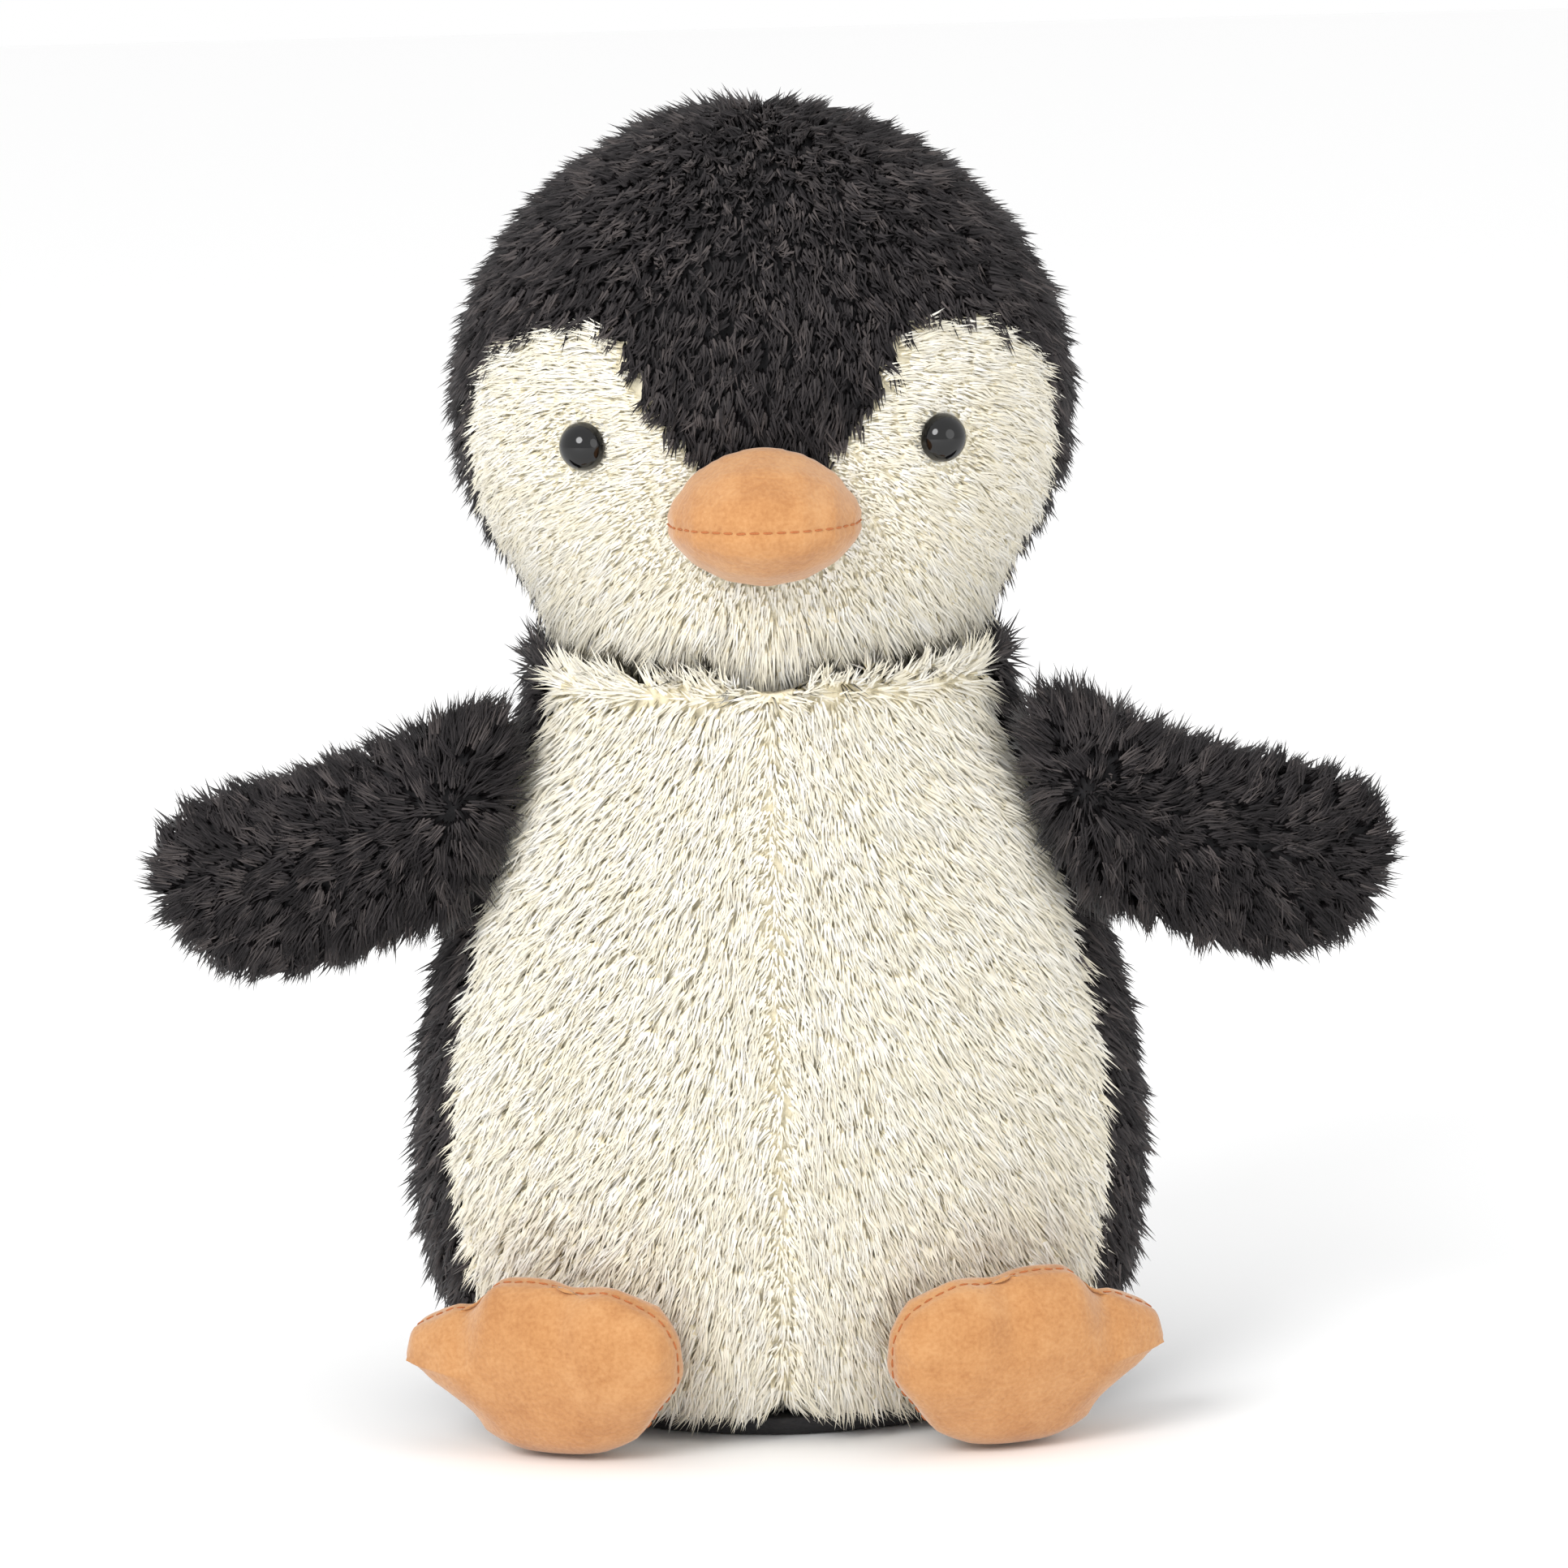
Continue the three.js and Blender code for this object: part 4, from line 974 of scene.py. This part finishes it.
def dress(name, body, panels, voxel, filling_node, inset=inset_wing, reshape=None):
    """A stuffed form with its knitted backing and the pile of each of its panels."""
    nodes = [panel for panel, kind, comb in panels]
    form = stuffed_form(name, [*nodes, filling_node], voxel, BACKING_SMOOTHING, inset, reshape)
    labels = face_labels(form, nodes)
    centres = np.array([face.center[:] for face in form.data.polygons]) / MM
    facings = np.array([face.normal[:] for face in form.data.polygons])
    areas = np.array([face.area for face in form.data.polygons])
    pale = np.array([COLOURS[kind] == "cream" for panel, kind, comb in panels])
    if pale.any():
        fold = in_fold(centres, facings, body)
        left, right = np.flatnonzero(pale)
        labels[fold] = np.where(centres[fold, 0] > 0, left, right)
    inflate(form, held_points(form, labels), PLUSH_PRESSURE, PLUSH_SWELL)
    bare = np.linalg.norm(centres - NECK_PIVOT, axis=1) < NECK_BALL
    bare &= centres[:, 2] < NECK - PLUG_DEPTH
    if body == "torso":
        bare |= in_cup(centres, facings) & (centres[:, 2] < NECK - CUP_BARE)
    for number, (panel, kind, comb) in enumerate(panels):
        tree, inputs = trees[COLOURS[kind]]
        for part, band in enumerate(bands((labels == number) & ~bare, centres, areas, kind)):
            skin = cut_skin(form, f"{panel}_skin", band, comb)
            sizes = dict(PILE[kind], Seed=100 + number + 10 * part)
            pile = grow_pile(f"{panel}_pile_{part}", skin, tree, inputs, sizes)
            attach(pile, body)
    form.data.materials.append(dark_cloth)
    form.data.materials.append(cream_cloth)
    form.data.polygons.foreach_set("material_index", pale[labels].astype(np.int32))
    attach(form, body)
    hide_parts(*nodes, filling_node)


def bands(faces, centres, areas, kind):
    """The faces of a panel in bands of height, so that no piece of pile grows too large."""
    planted = areas[faces].sum() * PILE[kind]["Density"] * TUFT_TRIANGLES
    parts = math.ceil(planted / MOST_TRIANGLES)
    levels = np.quantile(centres[faces, 2], np.linspace(0, 1, parts + 1))
    for part in range(parts):
        band = faces & (centres[:, 2] >= levels[part])
        if part + 1 < parts:
            band &= centres[:, 2] < levels[part + 1]
        yield band


dress("torso_cloth", "torso", [
    ("belly_left", "belly", comb_torso(0.45)), ("belly_right", "belly", comb_torso(0.45)),
    ("back_left", "back", comb_torso(0.2)), ("back_right", "back", comb_torso(0.2)),
], 2.5 * MM, "body_filling", inset_torso, raise_rim)
dress("head_cloth", "head", [
    ("hood_left", "hood", comb_hood), ("hood_right", "hood", comb_hood),
    ("face_left", "face", comb_face), ("face_right", "face", comb_face),
], 2.5 * MM, "head_filling", inset_head)
for side, sign in SIDES:
    dress(side + "_wing_cloth", side + "_wing", [
        (side + "_wing_front", "wing", comb_wing(side, sign)),
        (side + "_wing_back", "back", comb_wing(side, sign)),
    ], 1.8 * MM, side + "_wing_filling")

# ------------------------ stuffed suede

def no_inset(points, normals):
    return np.zeros(len(points))


SUEDE_PRESSURE = 3.0
SEAM_HOLD = 1.2 * MM       # how near to a seam the stuffing doesn't move the cloth
GROOVE_REACH = 1.6 * MM
GROOVE_DEPTH = 0.4 * MM
STITCH_LIFT = 0.1 * MM
STITCH_SIZES = {"Spacing": 2.3 * MM, "Stitch length": 1.7 * MM, "Thread": 0.4 * MM}

orange_thread = fibre("orange_thread", "#bb7040", 0.3)
stitches, stitch_inputs = stitch_tree(orange_thread)


def suede_pillow(name, body, nodes, filling_node, voxel, swell, smoothing=4, reshape=None):
    """A stuffed suede piece of two panels, with the seam between them drawn in and stitched."""
    form = stuffed_form(name, [*nodes, filling_node], voxel, smoothing, no_inset, reshape)
    inflate(form, seam_nearness(form, nodes, SEAM_HOLD) > 0, SUEDE_PRESSURE, swell)
    keep_above_floor(form)
    smooth = form.modifiers.new("crown", "SUBSURF")
    smooth.levels = smooth.render_levels = 1
    bake_modifiers(form)
    groove = seam_nearness(form, nodes, GROOVE_REACH)[:, None]
    set_points(form.data, points_of(form.data) - normals_of(form.data) * groove * GROOVE_DEPTH)
    keep_above_floor(form)
    form.data.materials.append(orange_suede)
    line = new_piece(name + "_stitches", seam_line(form, nodes, name + "_seam", STITCH_LIFT))
    grow(line, stitches, stitch_inputs, STITCH_SIZES)
    for piece in (form, line):
        shade_smooth(piece)
        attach(piece, body)
    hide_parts(*nodes, filling_node)


suede_pillow("beak_cloth", "head", ["beak_upper", "beak_lower"], "beak_filling",
             voxel=1.1 * MM, swell=1.0 * MM)

FOOT_TURN = math.radians(24)
FOOT_LEAN = math.radians(16)
TOE_DIPS = ((11.0, 3.4, 0.2, 1.6), (-6.5, 3.0, 0.2, 1.6))   # place, width, notch and groove
TOE_DIP_LENGTH = 16
OUTER_TOE_DROP, OUTER_TOE_START = 4.5, 6   # the outer toe is the shortest
HEEL_SWELL, HEEL_START = 3.0, 9            # the heel is round on its inner side
HEEL_LOW, HEEL_REACH = 7, 6
TOE_BLEND = 8


def shape_toes(side, sign):
    """Three toes parted by dips, the outer one narrow and rounded, on a round heel."""
    centre = middle(side + "_foot_sole", side + "_foot_upper")
    across = np.array([sign * math.cos(FOOT_TURN), math.sin(FOOT_TURN), 0])
    forward = np.array([sign * math.sin(FOOT_TURN), -math.cos(FOOT_TURN), 0])
    up = np.array([0, 0, math.cos(FOOT_LEAN)]) + forward * math.sin(FOOT_LEAN)
    out = np.cross(across, up)
    out *= np.sign(out @ forward)

    def reshape(points):
        u, v, w = ((points - centre) @ axis for axis in (across, up, out))
        near_toes = ease((v - v.max() + TOE_DIP_LENGTH) / TOE_DIP_LENGTH)
        for place, width, notch, groove in TOE_DIPS:
            dip = np.exp(-((u - place) / width) ** 2) * near_toes
            w = w - np.sign(w) * groove * dip
            v = v - notch * dip
        outer = ease((u - OUTER_TOE_START) / TOE_BLEND) * ease((v + 1) / TOE_BLEND)
        v = v - OUTER_TOE_DROP * outer
        at_heel = np.exp(-((v + HEEL_LOW) / HEEL_REACH) ** 2)
        u = u - HEEL_SWELL * (at_heel * ease((-u - HEEL_START) / TOE_BLEND))
        return centre + u[:, None] * across + v[:, None] * up + w[:, None] * out
    return reshape


for side, sign in SIDES:
    suede_pillow(side + "_foot_cloth", side + "_foot", [side + "_foot_sole", side + "_foot_upper"],
                 side + "_foot_filling", voxel=1.4 * MM, swell=1.6 * MM, smoothing=8,
                 reshape=shape_toes(side, sign))


# ------------------------ base, eyes and the rest

BASE_SHRINK = [0.93, 0.93, 1]


def shrink_base(points):
    """Keeps the base's edge under the pile that hangs round it."""
    return points * BASE_SHRINK


base = stuffed_form("base_cloth", ["base_panel"], 1.3 * MM, 3, no_inset, shrink_base)
keep_above_floor(base)
base.data.materials.append(dark_cloth)
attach(base, "torso")
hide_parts("base_panel")


EYE_RIM = 0.98   # what share of the full radius belongs to the dome's rim


def eye_dome(side, centre):
    """A smooth dome of a moulded eye, turned to face out of the head, on its shank."""
    source = points_of(frame["nodes"][side + "_eye"].data) / MM
    centred = source - source.mean(axis=0)
    axis = np.linalg.svd(centred)[2][0]
    out = axis if axis @ (centre - [0, 0, centre[2]]) > 0 else -axis
    along = centred @ out
    across = np.linalg.norm(centred - np.outer(along, out), axis=1)
    radius = across.max()
    rim = along[across > radius * EYE_RIM].min()
    seat = source.mean(axis=0) + out * rim
    work = bmesh.new()
    bmesh.ops.create_uvsphere(work, u_segments=48, v_segments=32, radius=1)
    for vert in work.verts:
        vert.co.x *= radius
        vert.co.y *= radius
        vert.co.z *= (along.max() - rim) if vert.co.z > 0 else 1.0
    work.transform(Vector(out).to_track_quat("Z", "Y").to_matrix().to_4x4())
    mesh = bpy.data.meshes.new(side + "_eye_dome")
    work.to_mesh(mesh)
    work.free()
    set_points(mesh, (points_of(mesh) + seat) * MM)
    return new_piece(side + "_eye_dome", mesh)


for (side, sign), centre in zip(SIDES, EYES):
    dome = eye_dome(side, centre)
    shade_smooth(dome)
    dome.data.materials.append(black_eye)
    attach(dome, "head")
    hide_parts(side + "_eye")

# Nodes that keep their CAD shape.
for node, finish in {
    "neck_filling": filling,
    "weight_bag_upper": cotton, "weight_bag_lower": cotton, "weight_pellets": white_plastic,
    "closing_stitch": thread, "neck_seam_thread": thread, "left_wing_seam_thread": thread,
    "right_wing_seam_thread": thread, "left_eye_washer": white_plastic,
    "right_eye_washer": white_plastic,
}.items():
    frame["nodes"][node].material_slots[0].material = finish

# The tufts were only patterns for the pile.
for strand in list(shapes.objects):
    bpy.data.objects.remove(strand)
bpy.data.collections.remove(shapes)
